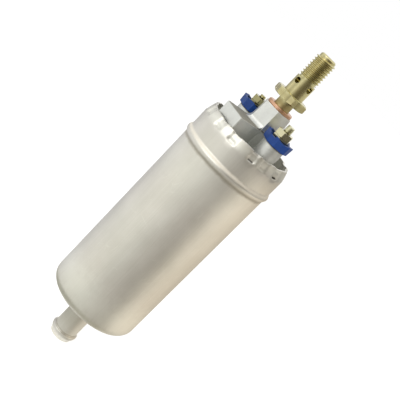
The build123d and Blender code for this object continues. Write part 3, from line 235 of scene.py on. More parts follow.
# Finishes: two tones that cloud into each other, with a fine grain in tone, roughness and relief
finishes = {
    "can_aluminium": {
        "dark": (0.612, 0.584, 0.522), "light": (0.783, 0.760, 0.710), "metallic": 1.0,
        "smooth": 0.36, "rough": 0.47, "cloud": 34.0, "grain": 1500.0, "along": 0.02, "relief": 0.04,
        "waveScale": 60.0, "waveDepth": 0.0004,
        "scratch": (0.86, 0.855, 0.785), "scratchScale": 125.0, "scratchAmount": 0.5,
        # painted light: three bands in the scratch colour lighten the wall low down, high up and at the rim
        "paintedLightBands": ((0.0420, 0.019, 0.55), (0.1340, 0.018, 0.2), (0.1645, 0.0044, 0.8)),
        # the dark share that a mesh carries is painted shade, here in the rim's slits
        "tint": (0.565, 0.565, 0.505), "tintScale": 24.0, "tintShare": 0.4, "paintedShade": (0.05, 0.042, 0.03),
        # painted light over the bead's upper side, which is also rougher there
        "worn": (0.90, 0.86, 0.78), "wornBands": ((0.1501, 0.0016, 0.75),), "grimeAndShade": (0.30, 0.27, 0.21),
        # painted shade in the creases under the bead, at the nipple's root and above the barb
        "grimeAndShadeBands": ((0.1458, 0.0019, 0.6), (0.0290, 0.0010, 0.4), (0.0061, 0.0006, 0.5)),
    },
    "cast_aluminium": {
        "dark": (0.59, 0.598, 0.57), "light": (0.80, 0.812, 0.775), "metallic": 0.85,
        "smooth": 0.34, "rough": 0.48, "cloud": 120.0, "grain": 2300.0, "along": 1.0, "relief": 0.16,
        "scratch": (0.76, 0.77, 0.75), "scratchScale": 140.0, "scratchAmount": 0.35,
        # a dark band low on the cap, and grime along the boss's top edge
        "grimeAndShade": (0.17, 0.15, 0.10), "grimeAndShadeBands": ((0.1610, 0.0012, 0.75), (0.1750, 0.0007, 0.75)),
    },
    "yellow_zinc": {
        "dark": (0.50, 0.43, 0.19), "light": (0.78, 0.71, 0.42), "metallic": 1.0,
        "smooth": 0.12, "rough": 0.26, "cloud": 260.0, "grain": 2600.0, "along": 1.0, "relief": 0.05,
        "tint": (0.62, 0.60, 0.34), "tintScale": 150.0,
        "scratch": (0.84, 0.79, 0.60), "scratchScale": 230.0, "scratchAmount": 0.4,
        # painted shade with grime on the neck under the hex, and painted shade over the hex's lower part
        "grimeAndShade": (0.27, 0.20, 0.07), "grimeAndShadeBands": ((0.1924, 0.0034, 0.6), (0.1975, 0.0026, 0.35)),
        # the dark share is painted shade, on the far nuts
        "paintedShade": (0.10, 0.095, 0.03), "pale": (0.88, 0.87, 0.68),
    },
    "copper": {
        "dark": (0.54, 0.29, 0.15), "light": (0.90, 0.59, 0.41), "metallic": 1.0,
        "smooth": 0.26, "rough": 0.44, "cloud": 240.0, "grain": 2400.0, "along": 1.0, "relief": 0.08,
        "tint": (0.62, 0.36, 0.26), "tintScale": 170.0,
    },
    "brass": {
        "dark": (0.56, 0.42, 0.18), "light": (0.76, 0.62, 0.34), "metallic": 1.0,
        "smooth": 0.24, "rough": 0.38, "cloud": 160.0, "grain": 2200.0, "along": 1.0, "relief": 0.05,
    },
    "blue_plastic": {
        "dark": (0.003, 0.031, 0.18), "light": (0.012, 0.074, 0.32), "metallic": 0.0, "gloss": 0.36,
        "smooth": 0.30, "rough": 0.46, "cloud": 220.0, "grain": 2600.0, "along": 1.0, "relief": 0.10,
        "scratch": (0.10, 0.17, 0.45), "scratchScale": 200.0, "scratchAmount": 0.35,
    },
    "black_plastic": {
        "dark": (0.018, 0.018, 0.018), "light": (0.045, 0.045, 0.043), "metallic": 0.0,
        "smooth": 0.42, "rough": 0.60, "cloud": 150.0, "grain": 2400.0, "along": 0.3, "relief": 0.12,
    },
    "natural_plastic": {
        "dark": (0.62, 0.59, 0.50), "light": (0.76, 0.74, 0.66), "metallic": 0.0,
        "smooth": 0.40, "rough": 0.55, "cloud": 130.0, "grain": 2400.0, "along": 1.0, "relief": 0.08,
    },
    "rubber": {
        "dark": (0.014, 0.014, 0.014), "light": (0.034, 0.034, 0.035), "metallic": 0.0,
        "smooth": 0.50, "rough": 0.68, "cloud": 200.0, "grain": 2800.0, "along": 1.0, "relief": 0.10,
    },
    "steel": {
        "dark": (0.44, 0.44, 0.43), "light": (0.62, 0.62, 0.61), "metallic": 1.0,
        "smooth": 0.18, "rough": 0.32, "cloud": 150.0, "grain": 1900.0, "along": 4.0, "relief": 0.05,
    },
    "sintered_steel": {
        "dark": (0.28, 0.28, 0.27), "light": (0.44, 0.44, 0.43), "metallic": 1.0,
        "smooth": 0.36, "rough": 0.52, "cloud": 180.0, "grain": 3200.0, "along": 1.0, "relief": 0.16,
    },
    "sintered_bronze": {
        "dark": (0.36, 0.25, 0.12), "light": (0.56, 0.40, 0.21), "metallic": 1.0,
        "smooth": 0.36, "rough": 0.52, "cloud": 180.0, "grain": 3200.0, "along": 1.0, "relief": 0.16,
    },
    "zinc_steel": {
        "dark": (0.52, 0.53, 0.55), "light": (0.70, 0.71, 0.73), "metallic": 1.0,
        "smooth": 0.22, "rough": 0.36, "cloud": 110.0, "grain": 1800.0, "along": 0.2, "relief": 0.06,
    },
    "ferrite": {
        "dark": (0.060, 0.060, 0.064), "light": (0.13, 0.13, 0.135), "metallic": 0.15,
        "smooth": 0.46, "rough": 0.62, "cloud": 140.0, "grain": 2600.0, "along": 1.0, "relief": 0.14,
    },
    "lamination": {
        "dark": (0.20, 0.20, 0.21), "light": (0.40, 0.40, 0.41), "metallic": 1.0,
        "smooth": 0.34, "rough": 0.50, "cloud": 90.0, "grain": 1200.0, "along": 12.0, "relief": 0.20,
    },
    "winding_copper": {
        "dark": (0.34, 0.12, 0.05), "light": (0.62, 0.28, 0.13), "metallic": 0.9,
        "smooth": 0.22, "rough": 0.38, "cloud": 140.0, "grain": 1500.0, "along": 0.08, "relief": 0.22,
    },
    "carbon": {
        "dark": (0.040, 0.040, 0.043), "light": (0.085, 0.085, 0.090), "metallic": 0.1,
        "smooth": 0.44, "rough": 0.62, "cloud": 220.0, "grain": 3000.0, "along": 1.0, "relief": 0.12,
    },
}

# How every finish puts the shared effects together
mixing = {
    "gloss": 0.5, "cloudShare": 0.6, "cloudAlong": 0.6, "cloudContrast": 2.2, "grainShare": 0.4,
    "grainContrast": 1.8, "tintShare": 0.55, "tintContrast": 3.4, "reliefDepth": 0.0003,
    "scratchWidth": 0.012, "scratchSpread": 0.53, "scratchHeight": -0.5,
    "scratchTurns": (((0.35, 0.2, 0.0), 1.0), ((-0.9, 0.5, 0.4), 0.8), ((1.4, -0.3, 1.1), 0.6)),
}
bandKinds = {
    # painted light: lighter bands in the scratch colour
    "paintedLightBands": {"tone": "scratch", "ragged": 0.8},
    "wornBands": {"tone": "worn", "ragged": 0.3, "rough": 0.85},  # a raised edge, made rougher, with painted light over it
    # dark bands: painted shade in creases and recesses, and grime
    "grimeAndShadeBands": {"tone": "grimeAndShade", "ragged": 0.8, "rough": 0.7},
}


def addScratches(tree, place, look, colour, height):
    for turn, share in mixing["scratchTurns"]:
        inputs = {
            "Vector": place, "Turn": turn, "Scale": look["scratchScale"], "Width": mixing["scratchWidth"],
            "Spread": mixing["scratchSpread"],
        }
        lines = useGroup(tree, scratchGroup, inputs)["Mask"]
        colour = blendColour(
            tree, scaleValue(tree, lines, look["scratchAmount"] * share), colour, look["scratch"]
        )
        height = addMath(tree, "ADD", height, scaleValue(tree, lines, mixing["scratchHeight"] * share))
    return colour, height


def addBands(tree, place, look, colour, rough):
    for bands, kind in bandKinds.items():
        for level, reach, amount in look.get(bands, ()):
            inputs = {"Vector": place, "Height": level, "Reach": reach, "Ragged": reach * kind["ragged"]}
            share = scaleValue(tree, useGroup(tree, bandGroup, inputs)["Mask"], amount)
            colour = blendColour(tree, share, colour, look[kind["tone"]])
            if "rough" in kind:
                rough = blendValue(tree, share, rough, kind["rough"])
    return colour, rough


def addRelief(tree, place, look, height):
    inputs = {"Height": height, "Strength": look["relief"], "Distance": mixing["reliefDepth"]}
    if "waveScale" in look:  # a drawn wall is never quite even, so what it mirrors wanders
        uneven = addNoise(tree, place, look["waveScale"], effects["waveDetail"])
        wavy = {"Height": uneven, "Strength": 1.0, "Distance": look["waveDepth"]}
        inputs["Normal"] = addNode(tree, "ShaderNodeBump", wavy).outputs[0]
    return addNode(tree, "ShaderNodeBump", inputs).outputs[0]


def makeFinish(name, look):
    material, tree, place = newMaterial(name)
    cloud = addGrain(tree, place, look["cloud"], mixing["cloudAlong"], mixing["cloudContrast"])
    grain = addGrain(tree, place, look["grain"], look["along"], mixing["grainContrast"])
    cloudTone = scaleValue(tree, cloud["Tone"], mixing["cloudShare"])
    grainTone = scaleValue(tree, grain["Tone"], mixing["grainShare"])
    colour = blendColour(tree, addMath(tree, "ADD", cloudTone, grainTone), look["dark"], look["light"])
    rough = blendValue(tree, cloud["Tone"], look["smooth"], look["rough"])
    height = grain["Height"]
    if "tint" in look:  # passivation and heat leave patches of a second hue
        patch = addGrain(tree, place, look["tintScale"], 1.0, mixing["tintContrast"])
        share = scaleValue(tree, patch["Tone"], look.get("tintShare", mixing["tintShare"]))
        colour = blendColour(tree, share, colour, look["tint"])
    if "scratch" in look:
        colour, height = addScratches(tree, place, look, colour, height)
    colour, rough = addBands(tree, place, look, colour, rough)
    for mark in ("paintedShade", "pale"):  # shares that a piece's mesh may carry: a dark one that is painted shade, and a paler one
        if mark in look:
            carried = addNode(tree, "ShaderNodeAttribute", attribute_name=mark, attribute_type="GEOMETRY")
            colour = blendColour(tree, carried.outputs["Fac"], colour, look[mark])
    sockets = {
        "Base Color": colour, "Metallic": look["metallic"], "Roughness": rough,
        "Specular IOR Level": look.get("gloss", mixing["gloss"]),
        "Normal": addRelief(tree, place, look, height),
    }
    showShader(tree, addNode(tree, "ShaderNodeBsdfPrincipled", sockets))
    return material


materials = {slotName: makeFinish(slotName, look) for slotName, look in finishes.items()}
slotOf = {part["node"]: part["material_slot"] for part in record["subparts"]}
bodyOf = {node: body for body, members in record["behaviour"]["bodies"].items() for node in members}
for nodeName, node in nodes.items():
    node.data.materials.clear()
    node.data.materials.append(materials[slotOf[nodeName]])
print("finishes:", len(materials))


def markMesh(piece, mark, shares):
    piece.data.attributes.new(mark, "FLOAT", "POINT").data.foreach_set("value", shares)


def finishPiece(piece, nodeName):
    # The piece stands for a node of the frame: same body, same finish
    piece.data.materials.clear()
    piece.data.materials.append(materials[slotOf[nodeName]])
    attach(piece, bodyOf[nodeName])
    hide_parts(nodeName)


def smoothStep(value):
    value = min(max(value, 0.0), 1.0)
    return value * value * (3 - 2 * value)


# Housing can: one revolved section, with the rim's staked pockets pressed into it (sizes in mm)
can = {
    "radius": 29.25, "wall": 1.2, "baseZ": 29.0, "insideZ": 31.0, "cornerRadius": 6.0, "wallFromZ": 36.5,
    "bore": 5.5, "nipple": 7.6, "rootRadius": 1.2, "lip": 0.4, "edge": 0.22, "bevel": 0.3,
    "barb": 8.7, "barbTop": 5.8, "barbNose": 1.4,
    "barbStart": 0.02, "barbRise": 0.56, "barbFallFrom": 0.86, "barbCrown": 0.99,
    "beadZ": 148.3, "beadHalf": 2.85, "beadRise": 1.25, "beadRound": 0.72,
    "rimZ": 161.2, "topZ": 167.7, "rimInward": 1.8, "rimBend": 1.4,
    # plain lengths left between the curves
    "barbLead": 0.2, "barbFoot": 0.25, "barbClear": 0.6, "rootClear": 0.6, "cornerClear": 0.3,
    "beadClear": 0.4, "rimClear": 0.3,
    # the stakes: the first one's angle, how far each is off an even spacing, and those beside the posts
    "firstStake": -102.5,
    "shifts": (0, 3.6, -5.9, -8.0, 1.4, -1.8, 1.1, 2.0, -1.2, 0.8, -1.6, 1.3, 0, 2.2),
    "besidePosts": (2, 9), "stakeHalf": 2.6, "stakeSoft": 2.6, "pocketRadius": 27.95, "pocketZ": 161.0,
    "pocketSoft": 2.4, "topDip": 0.5, "dipZ": 164.0, "topPush": 0.6, "postPush": 0.2,
    # the slits: which stakes have one at the foot, and how deep it is against slitDepth; each slit is also
    # painted dark, as painted shade
    "slits": {1: 0.6, 3: 1.0}, "slitHalf": 2.1, "slitSoft": 0.5, "slitZ": 162.3, "slitHeight": 0.6,
    "slitDepth": 0.85, "slitShade": 1.6,
    # the mesh: columns over a pocket and between two, and points along each stretch of the section
    "columnStep": 0.3, "columnsBeside": 13, "columnsBetween": 4,
    "steps": {
        "bore": 8, "barb": 16, "nipple": 6, "root": 7, "base": 4, "corner": 17, "wall": 6, "bead": 28,
        "neck": 4, "rim": 42, "edge": 4, "insideRim": 14, "insideBead": 12, "insideCorner": 7,
    },
}


def arcPoints(centre, radius, start, end, count):
    turns = [radians(start + (end - start) * k / (count - 1)) for k in range(count)]
    return [(centre[0] + radius * cos(turn), centre[1] + radius * sin(turn)) for turn in turns]


def straight(start, end, count):
    # Points of a straight run, without its end
    across, up = end[0] - start[0], end[1] - start[1]
    return [(start[0] + across * k / count, start[1] + up * k / count) for k in range(count)]


def barbPoints(nose, steps):
    # A quick swell, a round crown and a steeper fall to the nipple
    points = []
    for k in range(steps + 1):
        along = k / steps
        if along < can["barbFallFrom"]:
            swell = sin(pi * (can["barbStart"] + can["barbRise"] * along))
        else:
            fall = (along - can["barbFallFrom"]) / (1 - can["barbFallFrom"])
            swell = can["barbCrown"] * cos(fall * pi / 2)
        foot = nose + (can["nipple"] - nose) * along
        height = can["barbNose"] + (can["barbTop"] - can["barbNose"]) * along
        points.append((foot + (can["barb"] - foot) * swell, height))
    return points


def canBead(radius, steps):
    points = []
    for k in range(steps + 1):
        along = -1 + 2 * k / steps
        swell = (0.5 + 0.5 * cos(pi * along)) ** can["beadRound"]  # round crown, tight creases at both feet
        points.append((radius + can["beadRise"] * swell, can["beadZ"] + can["beadHalf"] * along))
    return points


def rimInset(height):
    share = min(max((height - can["rimZ"]) / (can["topZ"] - can["rimZ"]), 0.0), 1.0)
    return can["rimInward"] * share ** can["rimBend"]


def canRim(radius, steps):
    heights = [can["rimZ"] + (can["topZ"] - can["rimZ"]) * k / steps for k in range(steps + 1)]
    return [(radius - rimInset(height), height) for height in heights]


def nippleSection():
    # Down the bore, round the nipple's end, over the barb and up to the can's base
    steps, bore, nipple, edge, lip = can["steps"], can["bore"], can["nipple"], can["edge"], can["lip"]
    nose = nipple - lip
    rootZ = can["baseZ"] - can["rootRadius"]
    section = straight((bore, can["insideZ"]), (bore, edge), steps["bore"])
    section += [(bore, edge), (bore + edge * can["bevel"], edge * can["bevel"]), (bore + edge, 0)]
    section += [(nose - lip, 0), (nose - lip * can["bevel"], lip * can["bevel"]), (nose, lip)]
    section += [(nose, can["barbNose"] - can["barbLead"])] + barbPoints(nose, steps["barb"])
    section += [(nipple, can["barbTop"] + can["barbFoot"])]
    section += straight((nipple, can["barbTop"] + can["barbClear"]), (nipple, rootZ), steps["nipple"])
    section += arcPoints((nipple + can["rootRadius"], rootZ), can["rootRadius"], 180, 90, steps["root"])
    return section


def wallSection():
    # Out over the base, round the corner, up the wall and over the bead to the rim's top edge
    steps, radius, edge = can["steps"], can["radius"], can["edge"]
    root = can["nipple"] + can["rootRadius"] + can["rootClear"]
    corner = radius - can["cornerRadius"]
    beadFrom = can["beadZ"] - can["beadHalf"] - can["beadClear"]
    beadTo = can["beadZ"] + can["beadHalf"] + can["beadClear"]
    baseEnd = (corner - can["cornerClear"], can["baseZ"])
    section = straight((root, can["baseZ"]), baseEnd, steps["base"])
    section += arcPoints(
        (corner, can["baseZ"] + can["cornerRadius"]), can["cornerRadius"], -90, 0, steps["corner"]
    )
    section += straight((radius, can["wallFromZ"]), (radius, beadFrom), steps["wall"])
    section += [(radius, beadFrom)] + canBead(radius, steps["bead"])
    section += straight((radius, beadTo), (radius, can["rimZ"] - can["rimClear"]), steps["neck"])
    section += canRim(radius, steps["rim"])[:-1]
    section += arcPoints(
        (radius - can["rimInward"] - edge, can["topZ"] - edge), edge, 0, 90, steps["edge"]
    )
    return section


def insideSection():
    # Over the rim's inner edge and down the inside to the floor of the can
    steps, edge = can["steps"], can["edge"]
    inner = can["radius"] - can["wall"]
    corner = can["cornerRadius"] - can["wall"]
    topEdge = (inner - can["rimInward"] + edge, can["topZ"] - edge)
    section = arcPoints(topEdge, edge, 90, 180, steps["edge"])
    section += canRim(inner, steps["insideRim"])[-2::-1]
    section += canBead(inner, steps["insideBead"])[::-1]
    section += arcPoints((inner - corner, can["insideZ"] + corner), corner, 0, -90, steps["insideCorner"])
    return section


def slitAt(height, offset):
    across = smoothStep((can["slitHalf"] - abs(offset)) / can["slitSoft"])
    return across * max(0.0, 1 - abs(height - can["slitZ"]) / can["slitHeight"])


def pressStake(radius, height, offset, push, slitShare):
    # How the punch moves a point of the rim; offset is the distance along the wall from the stake's middle
    side = smoothStep((can["stakeHalf"] + can["stakeSoft"] / 2 - abs(offset)) / can["stakeSoft"])
    if side == 0 or height < can["pocketZ"]:
        return radius, height
    lift = smoothStep((height - can["pocketZ"]) / can["pocketSoft"])
    shareTop = smoothStep((height - can["dipZ"]) / (can["topZ"] - can["dipZ"]))
    outer = can["radius"] - rimInset(height)
    press = min(hypot(can["pocketRadius"], offset) - outer, 0.0) * lift - push * shareTop
    if radius > outer - can["wall"] / 2:  # the slit goes into the outer side alone
        press -= can["slitDepth"] * slitShare * slitAt(height, offset)
    return radius + press * side, height - can["topDip"] * shareTop * side


def stakeColumns():
    # Angle, stake and distance from its middle for every column: close over a pocket, wide between pockets
    step, beside, between = can["columnStep"], can["columnsBeside"], can["columnsBetween"]
    count = len(can["shifts"])
    middles = [can["firstStake"] + 360 / count * k + shift for k, shift in enumerate(can["shifts"])]
    perDegree = radians(can["radius"])
    reach = step * beside
    columns = []
    for k, middle in enumerate(middles):
        columns += [(middle + step * i / perDegree, k, step * i) for i in range(-beside, beside + 1)]
        following = middles[(k + 1) % count] + (360 if k + 1 == count else 0)
        gap = (following - middle) * perDegree - 2 * reach
        offsets = [reach + gap * i / between for i in range(1, between)]
        columns += [(middle + offset / perDegree, k, offset) for offset in offsets]
    return columns


def meshFromRings(name, rings):
    # rings[i][j] is point j of the section at angle i; both ways round are joined
    columns, rows = len(rings), len(rings[0])
    points = [point for ring in rings for point in ring]
    faces = []
    for i in range(columns):
        following = (i + 1) % columns
        for j in range(rows):
            above = (j + 1) % rows
            faces.append((i * rows + j, following * rows + j, following * rows + above, i * rows + above))
    mesh = bpy.data.meshes.new(name)
    mesh.from_pydata(points, [], faces)
    mesh.update()
    mesh.shade_smooth()
    return mesh


def buildCan():
    section = nippleSection() + wallSection() + insideSection()
    rings, paintedShade = [], []
    for turn, stake, offset in stakeColumns():
        angle = radians(turn)
        push = can["postPush"] if stake in can["besidePosts"] else can["topPush"]
        slitShare = can["slits"].get(stake, 0.0)
        ring = []
        for radius, height in section:
            # painted shade: the slit is darkened where it cuts into the wall
            paintedShade.append(min(can["slitShade"] * slitShare * slitAt(height, offset), 1.0))
            radius, height = pressStake(radius, height, offset, push, slitShare)
            ring.append((radius * cos(angle) * mm, radius * sin(angle) * mm, height * mm))
        rings.append(ring)
    piece = addObject("housingCan", meshFromRings("housingCan", rings))
    markMesh(piece, "paintedShade", paintedShade)
    return piece


housingCan = buildCan()
finishPiece(housingCan, "housing_can")
print("housing can:", len(housingCan.data.polygons), "faces")

# Copies of the solids' own shapes: what counts as one point, as no edge and as smooth (mm, degrees)
copies = {"samePoint": 0.004, "noEdge": 0.002, "smoothAngle": 20}


def copyOfNode(nodeName, pieceName):
    # A merged copy of a node's mesh
    mesh = nodes[nodeName].data.copy()
    mesh.name = pieceName
    shape = bmesh.new()
    shape.from_mesh(mesh)
    bmesh.ops.remove_doubles(shape, verts=shape.verts, dist=copies["samePoint"] * mm)
    bmesh.ops.dissolve_degenerate(shape, edges=shape.edges, dist=copies["noEdge"] * mm)
    return shape, mesh


def smoothUnder(mesh, angle):
    mesh.shade_smooth()
    mesh.set_sharp_from_angle(angle=radians(angle))


def closeCopy(shape, mesh, name, smoothAngle):
    shape.to_mesh(mesh)
    shape.free()
    mesh.update()
    smoothUnder(mesh, smoothAngle)
    return addObject(name, mesh)


def middleOf(nodeName):
    low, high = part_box(nodeName)
    return (low + high) / 2


# Cast cap and moulded insulators: the solids' shapes with their edges rounded as a mould leaves them (mm)
roundings = {
    "outlet_cap": {"piece": "outletCap", "width": 0.3, "fromAngle": 40},
    "insulator_positive": {"piece": "insulatorPositive", "width": 0.3, "fromAngle": 25},
    "insulator_negative": {"piece": "insulatorNegative", "width": 0.3, "fromAngle": 25},
    "copper_washer": {"piece": "copperWasher", "width": 0.12, "fromAngle": 25},
}
rounding = {"steps": 2, "room": 1.2, "flatAngle": 0.6, "smoothAngle": 32, "onLine": 0.001}
# The near insulator's notch is shallower in the photograph than in the solid
notch = {"node": "insulator_positive", "floorZ": 178.1, "within": 0.05, "rise": 1.4, "slope": 0.07}


def weighNormals(mesh, smoothAngle):
    # Wide flat faces keep their own normal, and the narrow ones between them take the turn
    around = [[] for vert in mesh.vertices]
    for face in mesh.polygons:
        for vert in face.vertices:
            around[vert].append(face)
    limit = cos(radians(smoothAngle))
    normals = []
    for face in mesh.polygons:
        for vert in face.vertices:
            near = [other for other in around[vert] if other.normal.dot(face.normal) > limit]
            total = sum((other.normal * other.area**2 for other in near), Vector())
            normals.append(total.normalized() if total.length > 0 else face.normal.copy())
    mesh.normals_split_custom_set(normals)


def roomBeside(edge):
    # How far the nearest other corner of the two faces lies from an edge's line
    start = edge.verts[0].co
    along = (edge.verts[1].co - start).normalized()
    arms = [vert.co - start for face in edge.link_faces for vert in face.verts if vert not in edge.verts]
    gaps = [(arm - along * arm.dot(along)).length for arm in arms]
    return min((gap for gap in gaps if gap > rounding["onLine"] * mm), default=0.0)


def raiseNotch(shape, nodeName):
    # The floor rises along the sloping wall
    middle = middleOf(nodeName)
    floor = [vert for vert in shape.verts if abs(vert.co.z - notch["floorZ"] * mm) < notch["within"] * mm]
    outward = sum((vert.co - middle for vert in floor), Vector())
    outward.z = 0
    step = outward.normalized() * notch["rise"] * notch["slope"] + Vector((0, 0, notch["rise"]))
    for vert in floor:
        vert.co += step * mm


def roundedCopy(nodeName, look):
    shape, mesh = copyOfNode(nodeName, look["piece"])
    flat = radians(rounding["flatAngle"])
    bmesh.ops.dissolve_limit(
        shape, angle_limit=flat, verts=shape.verts, edges=shape.edges, delimit={"NORMAL"}
    )
    if nodeName == notch["node"]:
        raiseNotch(shape, nodeName)
    width = look["width"] * mm
    edges = [
        edge for edge in shape.edges
        if edge.is_manifold and edge.calc_face_angle(0.0) > radians(look["fromAngle"])
        and roomBeside(edge) > rounding["room"] * width
    ]
    bmesh.ops.bevel(
        shape, geom=edges, offset=width, offset_type="OFFSET", segments=rounding["steps"], profile=0.5,
        affect="EDGES", clamp_overlap=True,
    )
    bmesh.ops.triangulate(shape, faces=[face for face in shape.faces if len(face.verts) > 4])
    piece = closeCopy(shape, mesh, look["piece"], rounding["smoothAngle"])
    weighNormals(mesh, rounding["smoothAngle"])
    finishPiece(piece, nodeName)
    print(look["piece"] + ":", len(mesh.polygons), "faces")


for nodeName, look in roundings.items():
    roundedCopy(nodeName, look)

# Nuts, each pair at the turn that it happens to have; the near pair is paler than its finish, and the far
# pair is painted darker, as painted shade
nuts = {
    "terminal_nuts_positive": {"piece": "terminalNutsPositive", "turn": -9, "mark": "pale", "share": 0.35},
    "terminal_nuts_negative": {"piece": "terminalNutsNegative", "turn": 0, "mark": "paintedShade", "share": 0.5},
}


def turnedCopy(nodeName, look):
    shape, mesh = copyOfNode(nodeName, look["piece"])
    turn = Matrix.Rotation(radians(look["turn"]), 3, "Z")
    bmesh.ops.rotate(shape, cent=middleOf(nodeName), matrix=turn, verts=shape.verts)
    piece = closeCopy(shape, mesh, look["piece"], copies["smoothAngle"])
    markMesh(piece, look["mark"], [look["share"]] * len(mesh.vertices))
    finishPiece(piece, nodeName)


for nodeName, look in nuts.items():
    turnedCopy(nodeName, look)
print("nuts:", len(nuts), "pairs")

# Threads: a helical ridge of trapezium section swept along a spiral, on a shank cut down to its root (mm)
studs = {
    "outlet_stud": {
        "piece": "outletStud", "core": 6.0, "root": 5.3, "crest": 6.2, "pitch": 1.75,
        "fromZ": 210.1, "toZ": 226.1, "steps": 72, "pale": 0.0,
    },
    "terminal_stud_positive": {
        "piece": "terminalStudPositive", "core": 2.5, "root": 2.08, "crest": 2.48,
        "pitch": 0.8, "fromZ": 184.75, "toZ": 188.3, "steps": 40, "pale": 0.8,
    },
    "terminal_stud_negative": {
        "piece": "terminalStudNegative", "core": 2.0, "root": 1.64, "crest": 1.98,
        "pitch": 0.7, "fromZ": 184.7, "toZ": 186.3, "steps": 40, "pale": 0.4,
    },
}
thread = {
    "footShare": 0.92, "crestShare": 0.2, "endShare": 0.4,  # shares of the pitch
    "sunk": 0.25, "below": 0.3, "above": 0.4, "coreWithin": 0.05, "turnedWithin": 0.01, "samePoint": 0.002,
    "fadeTurns": 0.45, "fadeFrom": 0.35,  # the ridge grows to its full size over this part of a turn
    "uprightWithin": 0.02, "smoothAngle": 24,
}


def makeThreadTree():
    tree, given, result = newTree(
        "helicalThread",
        "GeometryNodeTree",
        [
            ("Turns", "NodeSocketFloat", 8.0), ("Steps", "NodeSocketInt", 64),
            ("Height", "NodeSocketFloat", 0.014), ("Ridge Radius", "NodeSocketFloat", 0.0055),
            ("Foot Width", "NodeSocketFloat", 0.0016), ("Crest Width", "NodeSocketFloat", 0.0004),
            ("Depth", "NodeSocketFloat", 0.0011), ("Place", "NodeSocketVector", (0.0, 0.0, 0.0)),
            ("Material", "NodeSocketMaterial", None),
        ],
        [("Geometry", "NodeSocketGeometry")],
    )
    tree.is_modifier = True

    def step(kind, inputs, **settings):
        return addNode(tree, kind, inputs, **settings).outputs[0]

    spiral = step(
        "GeometryNodeCurveSpiral",
        {
            "Resolution": given["Steps"], "Rotations": given["Turns"], "Start Radius": given["Ridge Radius"],
            "End Radius": given["Ridge Radius"], "Height": given["Height"], "Reverse": True,
        },
    )
    path = step("GeometryNodeSetCurveNormal", {"Curve": spiral}, mode="Z_UP")
    along = addNode(tree, "GeometryNodeSplineParameter").outputs["Factor"]
    nearest = addMath(tree, "MINIMUM", along, addMath(tree, "SUBTRACT", 1.0, along))
    turnsIn = scaleValue(tree, nearest, given["Turns"])
    fade = mapRange(
        tree, turnsIn, (0.0, thread["fadeTurns"]), (thread["fadeFrom"], 1.0), interpolation_type="SMOOTHSTEP"
    )
    section = step(
        "GeometryNodeCurvePrimitiveQuadrilateral",
        {
            "Bottom Width": given["Foot Width"], "Top Width": given["Crest Width"],
            "Height": given["Depth"], "Offset": 0.0,
        },
        mode="TRAPEZOID",
    )
    outward = step("GeometryNodeTransform", {"Geometry": section, "Rotation": (0.0, 0.0, radians(-90))})
    swept = {"Curve": path, "Profile Curve": outward, "Scale": fade, "Fill Caps": True}
    ridge = step("GeometryNodeCurveToMesh", swept)
    moved = step("GeometryNodeTransform", {"Geometry": ridge, "Translation": given["Place"]})
    merging = {"Geometry": moved, "Distance": thread["samePoint"] * mm}
    real = step("GeometryNodeRealizeInstances", {"Geometry": step("GeometryNodeMergeByDistance", merging)})
    coated = step("GeometryNodeSetMaterial", {"Geometry": real, "Material": given["Material"]})
    tree.links.new(coated, result["Geometry"])
    return tree


threadTree = makeThreadTree()


def cutShank(shape, cx, cy, size):
    # Turns the shank down to the thread's root; cx and cy are its middle line in mm
    for vert in shape.verts:
        x, y, z = vert.co.x / mm - cx, vert.co.y / mm - cy, vert.co.z / mm
        radius = hypot(x, y)
        within = size["fromZ"] - thread["below"] < z < size["toZ"] + thread["above"]
        if within and abs(radius - size["core"]) < thread["coreWithin"]:
            vert.co.x = (cx + x * size["root"] / radius) * mm
            vert.co.y = (cy + y * size["root"] / radius) * mm


def makeRidge(nodeName, cx, cy, size):
    carrier = addObject("threadCarrier", bpy.data.meshes.new("threadCarrier"))
    modifier = carrier.modifiers.new("thread", "NODES")
    modifier.node_group = threadTree
    pitch = size["pitch"]
    depth = size["crest"] - size["root"] + thread["sunk"]
    height = size["toZ"] - size["fromZ"] - pitch * 2 * thread["endShare"]
    values = {
        "Turns": height / pitch, "Steps": size["steps"], "Height": height * mm,
        "Ridge Radius": (size["root"] - thread["sunk"] + depth / 2) * mm,
        "Foot Width": pitch * thread["footShare"] * mm, "Crest Width": pitch * thread["crestShare"] * mm,
        "Depth": depth * mm, "Place": (cx * mm, cy * mm, (size["fromZ"] + pitch * thread["endShare"]) * mm),
        "Material": materials[slotOf[nodeName]],
    }
    for item in threadTree.interface.items_tree:
        if item.in_out == "INPUT" and item.name in values:
            modifier[item.identifier] = values[item.name]
    carrier.update_tag()
    bpy.context.view_layer.update()
    evaluated = carrier.evaluated_get(bpy.context.evaluated_depsgraph_get())
    ridge = bpy.data.meshes.new_from_object(evaluated)
    bpy.data.objects.remove(carrier)
    return ridge


def joinRidge(mesh, ridge):
    whole = bmesh.new()
    whole.from_mesh(mesh)
    first = len(whole.faces)
    whole.from_mesh(ridge)
    whole.faces.ensure_lookup_table()
    bmesh.ops.recalc_face_normals(whole, faces=whole.faces[first:])
    whole.to_mesh(mesh)
    whole.free()


def roundNormals(mesh, cx, cy):
    # Turned faces shade as true cylinders, also where a cross hole has cut them into slivers
    normals = [Vector(corner.vector) for corner in mesh.corner_normals]
    for face in mesh.polygons:
        reaches = [hypot(mesh.vertices[v].co.x - cx, mesh.vertices[v].co.y - cy) for v in face.vertices]
        upright = abs(face.normal.z) < thread["uprightWithin"]
        if upright and max(reaches) - min(reaches) < thread["turnedWithin"] * mm:
            for loop in face.loop_indices:
                spot = mesh.vertices[mesh.loops[loop].vertex_index].co
                outward = Vector((spot.x - cx, spot.y - cy, 0)).normalized()
                normals[loop] = outward if outward.dot(face.normal) > 0 else -outward
    mesh.normals_split_custom_set(normals)


